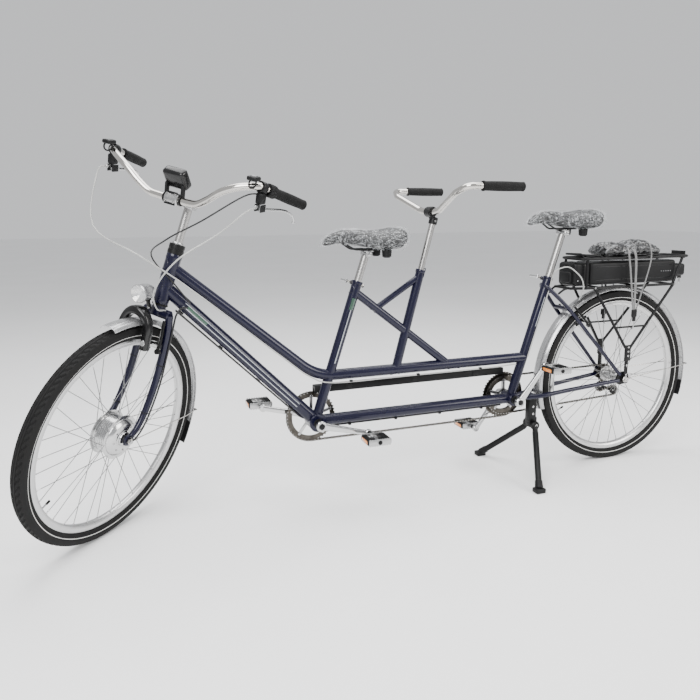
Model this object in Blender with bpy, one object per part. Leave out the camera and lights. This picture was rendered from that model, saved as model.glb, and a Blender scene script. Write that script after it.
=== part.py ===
"""Upright electric tandem bicycle, standing on its twin-leg stand with the front wheel turned to its left.

Built in a bicycle frame (front axle above x = 0, forward is -X, the bicycle's left is -Y,
the floor is z = 0),
then moved by ORIGIN_SHIFT so that the bottom centre of the bounding box is the origin. Metres throughout.
"""

import math

import bmesh
import bpy
from mathutils import Matrix, Quaternion, Vector

# ---- driving dimensions -------------------------------------------------------------------
ORIGIN_SHIFT = Vector((-1.0461, -0.0086, 0.0))
GAP = 0.0004  # clearance left between pieces that touch

TYRE_RADIUS = 0.355
TYRE_HALF_WIDTH = 0.0225
RIM_RADIUS = 0.3125
RIM_HALF_WIDTH = 0.0125
RIM_INNER_RADIUS = 0.291
WHEELBASE = 1.966
SPOKES = 36
SPOKE_R = 0.0010
WHEEL_STEPS = 36  # sides of the tyre and rim polygons

HEAD_ANGLE = math.radians(71.3)
AXIS_SETBACK = 0.039  # steering axis behind the front axle, at the axle's height
STEER_AT_REST = math.radians(47)

BB_HEIGHT = 0.308
FRONT_BB_X = 0.675
REAR_BB_X = 1.472
CRANK_LENGTH = 0.170
FRONT_CRANK_ANGLE = math.radians(-13)
REAR_CRANK_ANGLE = math.radians(56)
CHAIN_PITCH = 0.0127
TIMING_TEETH = 44
DRIVE_TEETH = 38
SPROCKET_TEETH = 18
TIMING_PLANE_Y = 0.0545
DRIVE_PLANE_Y = 0.0450

TOP_TUBE_HEIGHT = 0.467
HEAD_TUBE_R = 0.024
TOP_TUBE_R = 0.019
DOWN_TUBE_R = 0.022
BOOM_R = 0.020
SEAT_TUBE_R = 0.0175
SEAT_POST_R = 0.0136
MAST_R = 0.016
MAST_POST_R = 0.0111
STEERER_R = 0.0143
SLIDE_CLEARANCE = 0.0006

FRONT_HUB = Vector((0.0, 0.0, TYRE_RADIUS))
REAR_HUB = Vector((WHEELBASE, 0.0, TYRE_RADIUS))
FRONT_BB = Vector((FRONT_BB_X, 0.0, BB_HEIGHT))
REAR_BB = Vector((REAR_BB_X, 0.0, BB_HEIGHT))
STEER_AXIS = Vector((math.cos(HEAD_ANGLE), 0.0, math.sin(HEAD_ANGLE)))
STEER_BASE = Vector((AXIS_SETBACK, 0.0, TYRE_RADIUS))
FRONT_SEAT_TOP = Vector((0.834, 0.0, 0.792))
REAR_SEAT_TOP = Vector((1.629, 0.0, 0.777))
MAST_FOOT = Vector((0.981, 0.0, TOP_TUBE_HEIGHT))
MAST_TOP = Vector((1.077, 0.0, 0.824))
STAND_PIVOT = Vector((1.577, 0.0, 0.190))
STAND_FOOT = Vector((1.474, 0.205, 0.0))
GUIDE_PULLEY = Vector((1.952, DRIVE_PLANE_Y, 0.297))
TENSION_PULLEY = Vector((2.020, DRIVE_PLANE_Y, 0.274))

COLOURS = {  # (red, green, blue), roughness, metallic
    "blue_paint": ((0.020, 0.022, 0.095), 0.25, 0.3),
    "chrome": ((0.80, 0.79, 0.77), 0.15, 1.0),
    "alloy": ((0.68, 0.68, 0.68), 0.35, 1.0),
    "black_plastic": ((0.018, 0.018, 0.020), 0.45, 0.0),
    "black_metal": ((0.022, 0.022, 0.024), 0.35, 0.6),
    "rubber": ((0.020, 0.020, 0.021), 0.75, 0.0),
    "silver_plastic": ((0.55, 0.54, 0.52), 0.3, 0.4),
    "chain_steel": ((0.22, 0.20, 0.18), 0.4, 1.0),
    "cable_grey": ((0.45, 0.45, 0.45), 0.5, 0.0),
}


# ---- modelling helpers --------------------------------------------------------------------
def material(slot):
    """The Principled material of a colour slot, made once."""
    if slot in bpy.data.materials:
        return bpy.data.materials[slot]
    colour, roughness, metallic = COLOURS[slot]
    made = bpy.data.materials.new(slot)
    made.use_nodes = True
    shader = made.node_tree.nodes["Principled BSDF"]
    shader.inputs["Base Color"].default_value = (*colour, 1.0)
    shader.inputs["Roughness"].default_value = roughness
    shader.inputs["Metallic"].default_value = metallic
    return made


def new_collection(name, hidden=False):
    made = bpy.data.collections.new(name)
    bpy.context.scene.collection.children.link(made)
    made.hide_render = hidden
    return made


def solid(mesh_maker):
    """A helper object in the cutters' collection, with the mesh that mesh_maker fills in."""
    mesh = bpy.data.meshes.new("shape")
    bm = bmesh.new()
    mesh_maker(bm)
    bmesh.ops.recalc_face_normals(bm, faces=bm.faces)
    bm.to_mesh(mesh)
    bm.free()
    made = bpy.data.objects.new("shape", mesh)
    CUTTERS.objects.link(made)
    made.hide_render = True
    made.display_type = "WIRE"
    return made


def aim(direction):
    """Rotation that turns +Z to a direction."""
    return Vector(direction).to_track_quat("Z", "Y").to_matrix().to_4x4()


def rod(start, end, radius, sides=12, end_radius=None):
    """A round bar, or a cone, between two points."""
    start, end = Vector(start), Vector(end)
    place = Matrix.Translation((start + end) / 2) @ aim(end - start)
    far = radius if end_radius is None else end_radius
    return solid(
        lambda bm: bmesh.ops.create_cone(
            bm, cap_ends=True, segments=sides, radius1=radius, radius2=far, depth=(end - start).length, matrix=place
        )
    )


def across(centre, half_width, radius, sides=16, end_radius=None):
    """A round bar along Y, centred on a point."""
    reach = Vector((0, half_width, 0))
    return rod(Vector(centre) - reach, Vector(centre) + reach, radius, sides, end_radius)


def block(centre, size, turn=None, bevel=0.0):
    """A box with optional rotation matrix and bevelled edges."""
    turn = Matrix.Identity(4) if turn is None else turn

    def make(bm):
        place = Matrix.Translation(Vector(centre)) @ turn @ Matrix.Diagonal((*size, 1.0))
        bmesh.ops.create_cube(bm, size=1.0, matrix=place)
        if bevel:
            bmesh.ops.bevel(bm, geom=bm.edges[:], offset=bevel, segments=1, affect="EDGES",
                            clamp_overlap=True)

    return solid(make)


def rounded(points, radius, steps=4):
    """The route through some corner points, each inner corner replaced by an arc of about that radius."""
    points = [Vector(p) for p in points]
    route = [points[0]]
    for before, corner, after in zip(points, points[1:], points[2:]):
        inward, outward = before - corner, after - corner
        half = inward.angle(outward) / 2
        cut = min(radius / math.tan(half), 0.45 * inward.length, 0.45 * outward.length)
        first, last = corner + inward.normalized() * cut, corner + outward.normalized() * cut
        for k in range(steps + 1):
            t = k / steps
            route.append(first * (1 - t) ** 2 + corner * 2 * t * (1 - t) + last * t**2)
    return route + [points[-1]]


def smooth(points, steps=4):
    """A Catmull-Rom curve through the points, for cables and bent bars."""
    points = [Vector(p) for p in points]
    padded = [points[0] * 2 - points[1], *points, points[-1] * 2 - points[-2]]
    route = []
    for a, b, c, d in zip(padded, padded[1:], padded[2:], padded[3:]):
        for k in range(steps):
            t = k / steps
            route.append(
                (b * 2 + (c - a) * t + (a * 2 - b * 5 + c * 4 - d) * t**2 + (b * 3 - a - c * 3 + d) * t**3) / 2
            )
    return route + [points[-1]]


def pipe(points, radius, resolution=2, closed=False):
    """A round tube along a route, made from a bevelled curve with filled caps."""
    curve = bpy.data.curves.new("pipe", "CURVE")
    curve.dimensions = "3D"
    curve.bevel_depth = radius
    curve.bevel_resolution = resolution
    curve.use_fill_caps = not closed
    spline = curve.splines.new("POLY")
    spline.points.add(len(points) - 1)
    for point, place in zip(spline.points, points):
        point.co = (*place, 1.0)
    spline.use_cyclic_u = closed
    source = bpy.data.objects.new("pipe", curve)
    CUTTERS.objects.link(source)
    mesh = bpy.data.meshes.new_from_object(source.evaluated_get(bpy.context.evaluated_depsgraph_get()))
    bpy.data.objects.remove(source)

    def make(bm):
        bm.from_mesh(mesh)
        bmesh.ops.remove_doubles(bm, verts=bm.verts, dist=1e-5)

    return solid(make)


def revolve(profile, centre, start=0.0, end=2 * math.pi, steps=48):
    """A closed (radius, y) profile turned about the Y axis through centre, from one angle to another."""
    whole = end - start > 2 * math.pi - 1e-6

    def make(bm):
        corners = [
            bm.verts.new(Vector(centre) + Vector((r * math.cos(start), y,
                                                  r * math.sin(start)))) for r, y in profile
        ]
        face = bm.faces.new(corners)
        ring = [*corners, *face.edges, face]
        if whole:
            bm.faces.remove(face)
            ring = [*corners, *bm.edges]
        bmesh.ops.spin(bm, geom=ring, cent=centre, axis=(0, 1, 0), angle=-(end - start), steps=steps,
                       use_merge=whole)
        if whole:
            bmesh.ops.remove_doubles(bm, verts=bm.verts, dist=1e-5)

    return solid(make)


def plate(outline, y, half_thickness):
    """A flat plate in an XZ plane, from a closed outline of (x, z) points."""

    def make(bm):
        face = bm.faces.new([bm.verts.new((x, y - half_thickness, z)) for x, z in outline])
        made = bmesh.ops.extrude_face_region(bm, geom=[face], use_keep_orig=True)["geom"]
        corners = [g for g in made if isinstance(g, bmesh.types.BMVert)]
        bmesh.ops.translate(bm, verts=corners, vec=(0, 2 * half_thickness, 0))

    return solid(make)


def lofted(sections):
    """A closed skin through rings of points that all have the same count."""

    def make(bm):
        rings = [[bm.verts.new(p) for p in ring] for ring in sections]
        for near, far in zip(rings, rings[1:]):
            for i in range(len(near)):
                j = (i + 1) % len(near)
                bm.faces.new((near[i], near[j], far[j], far[i]))
        bm.faces.new(rings[0])
        bm.faces.new(rings[-1])

    return solid(make)


def boolean(base, others, operation):
    """base joined with, or cut by, every other shape; the others are used up."""
    group = bpy.data.collections.new("operands")
    for other in others:
        group.objects.link(other)
    step = base.modifiers.new(operation.lower(), "BOOLEAN")
    step.operation = operation
    step.operand_type = "COLLECTION"
    step.collection = group
    step.use_self = True
    bpy.context.view_layer.update()
    mesh = bpy.data.meshes.new_from_object(base.evaluated_get(bpy.context.evaluated_depsgraph_get()))
    base.modifiers.clear()
    base.data = mesh
    for other in others:
        bpy.data.objects.remove(other)
    bpy.data.collections.remove(group)
    return base


def union(*shapes):
    return boolean(shapes[0], shapes[1:], "UNION") if len(shapes) > 1 else shapes[0]


def cut(base, *cutters):
    return boolean(base, cutters, "DIFFERENCE")


def both_sides(maker, *args, **kwargs):
    """The left (-1) and right (+1) copies of what maker(side, ...) builds."""
    return [maker(side, *args, **kwargs) for side in (-1, 1)]


def pivot(name, place, parent):
    """An empty on a joint's axis. Pieces that move on the joint hang from it."""
    empty = bpy.data.objects.new(name, None)
    PARTS.objects.link(empty)
    empty.matrix_world = Matrix.Translation(place)
    bpy.context.view_layer.update()
    hang(empty, parent)
    return empty


def hang(child, parent):
    """Parents child without moving it."""
    bpy.context.view_layer.update()
    child.parent = parent
    child.matrix_parent_inverse = parent.matrix_world.inverted()


def piece(name, shape, slot, parent):
    """Turns a helper shape into a named part, with its origin on its parent's joint axis."""
    shape.name = name
    shape.data.name = name
    CUTTERS.objects.unlink(shape)
    PARTS.objects.link(shape)
    shape.hide_render = False
    shape.display_type = "TEXTURED"
    shape.data.materials.clear()
    shape.data.materials.append(material(slot))
    shape.data.shade_smooth()
    shape.data.set_sharp_from_angle(angle=math.radians(35))
    centre = parent.matrix_world.translation.copy()
    shape.data.transform(Matrix.Translation(-centre))
    shape.matrix_world = Matrix.Translation(centre)
    hang(shape, parent)
    return shape


def mirrored(point, side):
    """A point given for the right side, on the left (-1) or right (+1) side."""
    return Vector((point[0], side * point[1], point[2]))


def on_steer_axis(distance):
    return STEER_BASE + STEER_AXIS * distance


def chain_radius(teeth):
    return CHAIN_PITCH * teeth / (2 * math.pi)


def belt(pulleys, y, steps=12):
    """The closed line of a chain round (centre, radius, sense) pulleys; sense +1 turns from +X towards +Z."""
    centres = [Vector((c[0], c[2])) for c, _, _ in pulleys]
    touches = []
    for i, (_, radius, sense) in enumerate(pulleys):
        j = (i + 1) % len(pulleys)
        span = centres[j] - centres[i]
        heading = math.atan2(span.y, span.x)
        lean = math.asin((sense * radius - pulleys[j][2] * pulleys[j][1]) / span.length)
        normal = heading - math.pi / 2 + lean
        touches.append(
            (
                centres[i] + Vector((math.cos(normal), math.sin(normal))) * sense * radius,
                centres[j] + Vector((math.cos(normal), math.sin(normal))) * pulleys[j][2] * pulleys[j][1],
            )
        )
    line = []
    for i, (_, radius, sense) in enumerate(pulleys):
        arrive, leave = touches[i - 1][1] - centres[i], touches[i][0] - centres[i]
        begin = math.atan2(arrive.y, arrive.x)
        turn = (math.atan2(leave.y, leave.x) - begin) * sense % (2 * math.pi) * sense
        count = max(3, round(steps * abs(turn) / math.pi))
        for k in range(count + 1):
            angle = begin + turn * k / count
            line.append(Vector((centres[i].x + radius * math.cos(angle), y,
                                centres[i].y + radius * math.sin(angle))))
    return line


# ---- frame --------------------------------------------------------------------------------
def main_frame(bike):
    """The welded frame: head tube, top tube, down tube, boom, seat tubes, mast, braces, stays and dropouts."""
    up_seat = (FRONT_SEAT_TOP - FRONT_BB).normalized()
    up_rear_seat = (REAR_SEAT_TOP - REAR_BB).normalized()
    up_mast = (MAST_TOP - MAST_FOOT).normalized()
    top_tube = rounded(
        [(0.205, 0, 0.865), (0.680, 0, TOP_TUBE_HEIGHT), (1.527, 0, TOP_TUBE_HEIGHT)], radius=0.20, steps=5
    )
    tubes = [
        rod(on_steer_axis(0.4157), on_steer_axis(0.5757), HEAD_TUBE_R, 16),
        pipe(top_tube, TOP_TUBE_R, 2),
        rod((0.195, 0, 0.792), FRONT_BB, DOWN_TUBE_R, 12),
        rod(FRONT_BB, REAR_BB, BOOM_R, 12),
        rod(FRONT_BB, FRONT_SEAT_TOP, SEAT_TUBE_R, 12),
        rod(REAR_BB, REAR_SEAT_TOP, SEAT_TUBE_R, 12),
        rod((0.822, 0, 0.756), (1.195, 0, TOP_TUBE_HEIGHT), 0.015, 8),
        rod(MAST_FOOT, MAST_TOP, MAST_R, 12),
        rod((0.905, 0, 0.694), (1.065, 0, 0.796), 0.011, 8),
        across(FRONT_BB, 0.034, 0.031, 16),
        across(REAR_BB, 0.034, 0.0235, 14),
        across((1.568, 0, 0.312), 0.026, 0.009, 8),
        across((1.699, 0, 0.653), 0.046, 0.008, 8),
    ]

    def stays(side):
        dropout = [(1.928, 0.345), (1.946, 0.332), (1.990, 0.336), (1.992, 0.372), (1.968, 0.386),
                   (1.940, 0.376)]
        chain_stay = [
            (1.488, 0.018, 0.306),
            (1.545, 0.0275, 0.310),
            (1.605, 0.0430, 0.316),
            (1.720, 0.0500, 0.328),
            (1.945, 0.0655, 0.349),
        ]
        seat_stay = [(1.612, 0.016, 0.742), (1.695, 0.045, 0.656), (1.800, 0.054, 0.540),
                     (1.950, 0.0655, 0.372)]
        return [
            pipe(smooth([mirrored(p, side) for p in chain_stay], 2), 0.010, 1),
            pipe(smooth([mirrored(p, side) for p in seat_stay], 2), 0.008, 1),
            plate(dropout, side * 0.0655, 0.0035),
        ]

    for pair in both_sides(stays):
        tubes.extend(pair)
    for top, up in ((FRONT_SEAT_TOP, up_seat), (REAR_SEAT_TOP, up_rear_seat)):
        forward = Vector((up.z, 0, -up.x))
        bolt = top - up * 0.010 + Vector((0, 0.0195, 0))
        tubes.append(rod(bolt - forward * 0.030, bolt + forward * 0.034, 0.0042, 8))
        tubes.append(rod(bolt - forward * 0.017, bolt + forward * 0.017, 0.0075, 8))
    bores = [
        rod(on_steer_axis(0.40), on_steer_axis(0.60), STEERER_R + SLIDE_CLEARANCE, 14),
        rod(FRONT_SEAT_TOP - up_seat * 0.27, FRONT_SEAT_TOP + up_seat * 0.05, SEAT_POST_R + SLIDE_CLEARANCE,
            14),
        rod(
            REAR_SEAT_TOP - up_rear_seat * 0.27,
            REAR_SEAT_TOP + up_rear_seat * 0.05,
            SEAT_POST_R + SLIDE_CLEARANCE,
            14,
        ),
        rod(MAST_TOP - up_mast * 0.25, MAST_TOP + up_mast * 0.05, MAST_POST_R + SLIDE_CLEARANCE, 14),
        across(FRONT_BB, 0.05, 0.0130, 14),
        across(REAR_BB, 0.05, 0.0130, 14),
    ]
    tubes.extend(rear_axle())
    piece("main_frame", cut(union(*tubes), *bores), "blue_paint", bike)


# ---- wheels -------------------------------------------------------------------------------
def wheel(name, hub, hub_profile, flange_radius, flange_y, spoke_lean, extras, parent):
    """Tyre, box-section rim, and the hub with its two flanges and crossed spokes."""
    width = TYRE_HALF_WIDTH
    bead = RIM_RADIUS + GAP
    tyre = [
        (bead, -0.0115),
        (0.326, -0.0205),
        (0.341, -width + 0.001),
        (0.351, -0.0130),
        (TYRE_RADIUS, 0.0),
        (0.351, 0.0130),
        (0.341, width - 0.001),
        (0.326, 0.0205),
        (bead, 0.0115),
    ]
    piece(f"{name}_tyre", revolve(tyre, hub, steps=WHEEL_STEPS), "rubber", parent)
    rim = [
        (RIM_INNER_RADIUS, -0.006),
        (0.300, -RIM_HALF_WIDTH),
        (RIM_RADIUS, -RIM_HALF_WIDTH),
        (RIM_RADIUS, RIM_HALF_WIDTH),
        (0.300, RIM_HALF_WIDTH),
        (RIM_INNER_RADIUS, 0.006),
    ]
    piece(f"{name}_rim", revolve(rim, hub, steps=WHEEL_STEPS), "alloy", parent)
    outer = RIM_INNER_RADIUS * math.cos(math.pi / WHEEL_STEPS) - 2 * GAP
    shapes = [revolve(hub_profile, hub, steps=20)]
    for y in (-flange_y, flange_y):
        ring = [(0.012, -0.0015), (flange_radius + 0.004, -0.0015), (flange_radius + 0.004, 0.0015),
                (0.012, 0.0015)]
        shapes.append(revolve(ring, hub + Vector((0, y, 0)), steps=20))
    for i in range(SPOKES):
        side = -1 if i % 2 else 1
        leading = 1 if i // 2 % 2 else -1
        lean = leading * spoke_lean
        flange = Vector((0, side * flange_y + leading * 0.0020, 0))
        rim_angle = 2 * math.pi * i / SPOKES
        inner = Vector((math.cos(rim_angle + lean), 0, math.sin(rim_angle + lean))) * flange_radius
        tip = Vector((math.cos(rim_angle), 0, math.sin(rim_angle))) * outer
        shapes.append(
            rod(hub + inner + flange, hub + tip + Vector((0, side * 0.003, 0)), SPOKE_R, 3)
        )
    piece(f"{name}_hub", union(*shapes, *extras), "alloy", parent)


def front_wheel(parent):
    """Wheel with the large drum of a hub motor."""
    bore, drum, half = 0.0068, 0.0600, 0.040
    shell = [
        (bore, -half - 0.006),
        (0.022, -half - 0.006),
        (0.030, -half),
        (drum - 0.012, -half),
        (drum, -0.028),
        (drum, 0.028),
        (drum - 0.012, half),
        (0.030, half),
        (0.022, half + 0.006),
        (bore, half + 0.006),
    ]
    wheel("front", FRONT_HUB, shell, drum + 0.0065, 0.026, math.radians(31), [], parent)


def rear_wheel(parent):
    """Wheel with a narrow geared hub and its sprocket."""
    bore = 0.0062
    shell = [
        (bore, -0.055),
        (0.016, -0.055),
        (0.020, -0.045),
        (0.0215, -0.030),
        (0.0200, 0.0),
        (0.0215, 0.030),
        (0.0150, 0.034),
        (0.0150, 0.055),
        (bore, 0.055),
    ]
    radius = chain_radius(SPROCKET_TEETH) - 0.0045
    disc = [(0.012, -0.0014), (radius, -0.0014), (radius, 0.0014), (0.012, 0.0014)]
    sprocket = revolve(disc, REAR_HUB + Vector((0, DRIVE_PLANE_Y, 0)), steps=18)
    wheel("rear", REAR_HUB, shell, 0.028, 0.029, math.radians(56), [sprocket], parent)


# ---- fork and everything that steers with it ----------------------------------------------
def fork(parent):
    """Steerer, crown and two blades with dropouts."""
    crown = on_steer_axis(0.388)

    def blade(side):
        route = [
            (crown.x, 0.046, crown.z),
            (0.156, 0.050, 0.672),
            (0.137, 0.052, 0.595),
            (0.114, 0.0535, 0.519),
            (0.079, 0.0555, 0.442),
            (0.045, 0.0565, 0.390),
            (0.012, 0.0575, 0.364),
        ]
        outline = [(0.018, 0.345), (0.024, 0.368), (0.004, 0.373), (-0.014, 0.366), (-0.016, 0.344),
                   (0.002, 0.337)]
        return [
            pipe(smooth([mirrored(p, side) for p in route], 2), 0.0115, 1),
            plate(outline, side * 0.0565, 0.0035),
            rod((0.1405, side * 0.050, 0.6097), (0.1235, side * 0.050, 0.6143), 0.0045, 10),
        ]

    shapes = [
        rod(crown, on_steer_axis(0.5757), STEERER_R, 12),
        rod(crown - STEER_AXIS * 0.012, on_steer_axis(0.4157 - GAP / STEER_AXIS.z), 0.021, 12),
        across(crown, 0.050, 0.016, 10),
    ]
    for side in both_sides(blade):
        shapes.extend(side)
    piece("fork", cut(union(*shapes), across(FRONT_HUB, 0.08, 0.0068, 16)), "blue_paint", parent)
    nut = [rod((0, s * 0.0605, TYRE_RADIUS), (0, s * 0.069, TYRE_RADIUS), 0.0100, 6) for s in (-1, 1)]
    piece("front_axle", union(across(FRONT_HUB, 0.074, 0.0060, 12), *nut), "chrome", parent)


BAR_CLAMP = Vector((0.196, 0.0, 1.077))
GRIP_START = Vector((0.286, 0.2880, 1.1535))
GRIP_END = Vector((0.411, 0.3185, 1.1140))
BAR_RADIUS = 0.0111
GRIP_RADIUS = 0.0165
GRIP_AXIS = (GRIP_END - GRIP_START).normalized()
BEND_END = GRIP_START - GRIP_AXIS * 0.066  # the bar is straight from here to its end
BAR_FLAT = 0.050  # half length of the straight centre that the stem clamps
LEVER_STATION = GRIP_START - GRIP_AXIS * 0.052  # where the brake lever clamps the bar


def handlebar_route(side):
    """One half of the captain's bar: out, up, then swept back to the grip."""
    points = [
        (0.192, 0.090, 1.082),
        (0.188, 0.130, 1.105),
        (0.186, 0.175, 1.138),
        (0.196, 0.225, 1.162),
        BEND_END,
    ]
    flat = mirrored((BAR_CLAMP.x, BAR_FLAT, BAR_CLAMP.z), side)
    return [BAR_CLAMP, *smooth([flat] + [mirrored(p, side) for p in points], 3), mirrored(GRIP_END, side)]


def stem_and_bar(parent):
    """Quill stem with its lock nut and knuckle, and the swept chrome bar that it clamps."""
    top = on_steer_axis(0.735)
    knuckle = rod(top, BAR_CLAMP, 0.014, 12)
    stem = union(
        rod(on_steer_axis(0.5757 + GAP), on_steer_axis(0.6080), 0.0250, 20),
        rod(on_steer_axis(0.600), top, 0.0130, 16),
        across(top, 0.020, 0.0175, 16),
        knuckle,
        across(BAR_CLAMP, 0.024, 0.0190, 16),
    )
    stem = cut(stem, across(BAR_CLAMP, 0.06, BAR_RADIUS + GAP, 16))
    piece("stem", stem, "alloy", parent)
    left, right = handlebar_route(-1), handlebar_route(1)
    bar = pipe(left[:0:-1] + right[1:], BAR_RADIUS, 1)
    piece("handlebar", bar, "chrome", parent)


def sleeve(start, end, radius, bore, sides=14):
    """A straight tube from start to end, open at both ends."""
    start, end = Vector(start), Vector(end)
    reach = (end - start).normalized() * 0.02
    return cut(rod(start, end, radius, sides), rod(start - reach, end + reach, bore, sides))


def captain_controls(parent):
    """Grips, twist shifter, and the two brake levers with their clamps."""
    bore = BAR_RADIUS + 2 * GAP
    for side, word in ((-1, "left"), (1, "right")):
        start = mirrored(GRIP_START, side)
        end = mirrored(GRIP_END, side)
        along = (end - start).normalized()
        tip = end + along * 0.006
        grip = cut(rod(start, tip, GRIP_RADIUS, 14), rod(start - along * 0.02, end + along * 0.001, bore,
                                                         14))
        piece(f"{word}_grip", grip, "rubber", parent)
        station = mirrored(LEVER_STATION, side)
        arc = (start - station).normalized()
        clamp = rod(station - arc * 0.010, station + arc * 0.010, 0.0175, 14)
        body = block(station + Vector((-0.004, side * 0.002, -0.040)), (0.030, 0.024, 0.056), bevel=0.004)
        hollow = rod(station - arc * 0.03, station + arc * 0.03, bore + 0.0006, 14)
        lever_top = station + Vector((-0.001, side * 0.002, -0.062))
        slot = block(lever_top + Vector((0.008, side * 0.001, -0.002)), (0.036, 0.0150, 0.028))
        piece(f"{word}_lever_clamp", cut(union(clamp, body), hollow, slot), "black_plastic", parent)
        hinge = pivot(f"{word}_brake_lever_pivot", lever_top, parent)
        route = [
            lever_top + Vector((-0.006, 0, 0.001)),
            lever_top + Vector((0.040, side * 0.006, -0.004)),
            lever_top + Vector((0.100, side * 0.018, -0.010)),
            lever_top + Vector((0.138, side * 0.026, -0.024)),
            lever_top + Vector((0.152, side * 0.029, -0.046)),
        ]
        lever = pipe(smooth(route, 3), 0.0050, 2)
        piece(f"{word}_brake_lever", lever, "alloy", hinge)
    start = mirrored(GRIP_START, -1)
    station = mirrored(LEVER_STATION, -1)
    along = (start - station).normalized()
    twist = pivot("twist_shifter_pivot", start, parent)
    shifter = sleeve(station + along * 0.0220, start - along * 0.0012, 0.0200, bore + 0.001)
    piece("twist_shifter", shifter, "black_plastic", twist)


def cockpit_extras(parent):
    """Handlebar display, head lamp and wheel lock, all carried by the fork or the bar."""
    tilt = Matrix.Rotation(math.radians(-32), 4, "Y")
    display = union(
        block((0.206, 0, 1.139), (0.034, 0.078, 0.064), tilt, 0.008),
        block((0.200, 0.030, 1.104), (0.016, 0.010, 0.040), None),
        block((0.200, -0.030, 1.104), (0.016, 0.010, 0.040), None),
    )
    ring = across(BAR_CLAMP, 0.06, BAR_RADIUS + 2 * GAP, 16)
    piece("display", cut(display, ring), "black_plastic", parent)
    lamp_centre = Vector((0.104, 0, 0.800))
    lamp = union(
        rod(lamp_centre + Vector((-0.034, 0, 0.002)), lamp_centre + Vector((-0.004, 0, 0)), 0.028, 20,
            0.026),
        rod(lamp_centre + Vector((-0.006, 0, 0)), lamp_centre + Vector((0.026, 0, 0)), 0.026, 20, 0.014),
        block((0.116, 0, 0.768), (0.006, 0.016, 0.050), Matrix.Rotation(math.radians(-16), 4, "Y")),
    )
    piece("head_lamp", lamp, "silver_plastic", parent)


def wheel_lock(parent):
    """Horseshoe lock round the front tyre, just ahead of the fork blades, with its sliding shackle drawn back."""
    angle = math.radians(79)
    out = Vector((math.cos(angle), 0, math.sin(angle)))
    tangent = Vector((-out.z, 0, out.x))
    turn = Matrix((tangent, Vector((0, 1, 0)), out)).transposed().to_4x4()
    centre = FRONT_HUB + out * 0.343
    arch = []
    for radius_y, radius_out, widen in ((0.060, 0.066, 1), (0.0365, 0.046, -1)):
        arc = [
            (radius_y * math.cos(a), radius_out * math.sin(a)) for a in [math.pi * k / 10 for k in range(11)]
        ]
        arc = [(radius_y, -0.052), *arc, (-radius_y, -0.052)]
        arch += arc[::widen]
    half = 0.0135

    def make(bm):
        face = bm.faces.new([bm.verts.new((-half, y, z)) for y, z in arch])
        made = bmesh.ops.extrude_face_region(bm, geom=[face], use_keep_orig=True)["geom"]
        corners = [g for g in made if isinstance(g, bmesh.types.BMVert)]
        bmesh.ops.translate(bm, verts=corners, vec=(2 * half, 0, 0))
        bmesh.ops.transform(bm, matrix=Matrix.Translation(centre) @ turn, verts=bm.verts)

    piece("wheel_lock", solid(make), "black_plastic", parent)


MUDGUARD = [  # (radius, y) outline of the mudguard's rolled section
    (0.3640, -0.0290),
    (0.3735, -0.0210),
    (0.3770, -0.0080),
    (0.3770, 0.0080),
    (0.3735, 0.0210),
    (0.3640, 0.0290),
    (0.3630, 0.0275),
    (0.3715, 0.0200),
    (0.3750, 0.0075),
    (0.3750, -0.0075),
    (0.3715, -0.0200),
    (0.3630, -0.0275),
]


def mudguard(name, hub, start, end, stay_angle, stay_y, parent):
    """A rolled strip round the wheel, its flap, and the wire stays that run to the dropouts."""
    strip = revolve(MUDGUARD, hub, math.radians(start), math.radians(end),
                    steps=max(8, round((end - start) / 11)))
    shapes = [strip]
    along = Vector((math.cos(math.radians(stay_angle)), 0, math.sin(math.radians(stay_angle))))
    for side in (-1, 1):
        route = [
            hub + along * 0.3725,
            hub + along * 0.372 + Vector((0, side * 0.034, 0)),
            hub + along * 0.30 + Vector((0, side * 0.046, 0)),
            hub + along * 0.036 + Vector((0, side * stay_y, 0)),
        ]
        shapes.append(pipe(route, 0.0018, 1))
    piece(name, union(*shapes), "silver_plastic", parent)


def brake_pair(name, hub, post_at, along, parent):
    """Two brake arms, each turning on its own post beside a blade or stay that runs in the direction along."""
    forward = Vector((-along.z, 0, along.x))
    from_hub = Vector((post_at.x, 0, post_at.z)) - hub
    reach = from_hub.dot(along)
    to_pad = math.sqrt(reach**2 + (RIM_RADIUS - 0.007) ** 2 - from_hub.length_squared) - reach
    for side, word in ((-1, "left"), (1, "right")):
        post = mirrored(post_at, side)
        hinge = pivot(f"{name}_brake_{word}_pivot", post, parent)
        top = post + along * 0.098 - Vector((0, side * 0.004, 0))
        pad = hub + from_hub + along * to_pad + Vector((0, side * (RIM_HALF_WIDTH + 0.0075), 0))
        rim_line = Vector((hub.z - pad.z, 0, pad.x - hub.x)).normalized()
        arm = union(
            rod(post - forward * 0.007, post + forward * 0.007, 0.0085, 12),
            rod(post, top, 0.0062, 8),
            rod(pad, Vector((pad.x, side * (post_at.y - 0.002), pad.z)), 0.0045, 8),
            rod(pad - rim_line * 0.028, pad + rim_line * 0.028, 0.0052, 8),
        )
        piece(f"{name}_brake_arm_{word}", arm, "black_metal", hinge)


# ---- drive train --------------------------------------------------------------------------
def crank_end(axle, angle, sign):
    reach = CRANK_LENGTH * sign
    return Vector((axle.x + reach * math.cos(angle), 0, axle.z + reach * math.sin(angle)))


def crank_arm(axle, end, side, inner_y, outer_y):
    """A tapered arm from the axle to the pedal eye."""
    near = Vector((axle.x, side * inner_y, axle.z))
    far = Vector((end.x, side * outer_y, end.z))
    thick = Vector((0, side * 0.0065, 0))
    return union(
        rod(near - thick, near + thick * 1.3, 0.0185, 16),
        rod(far - thick, far + thick, 0.0135, 14),
        rod(near, far - thick * 0.5, 0.0115, 8, 0.0085),
    )


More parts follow.
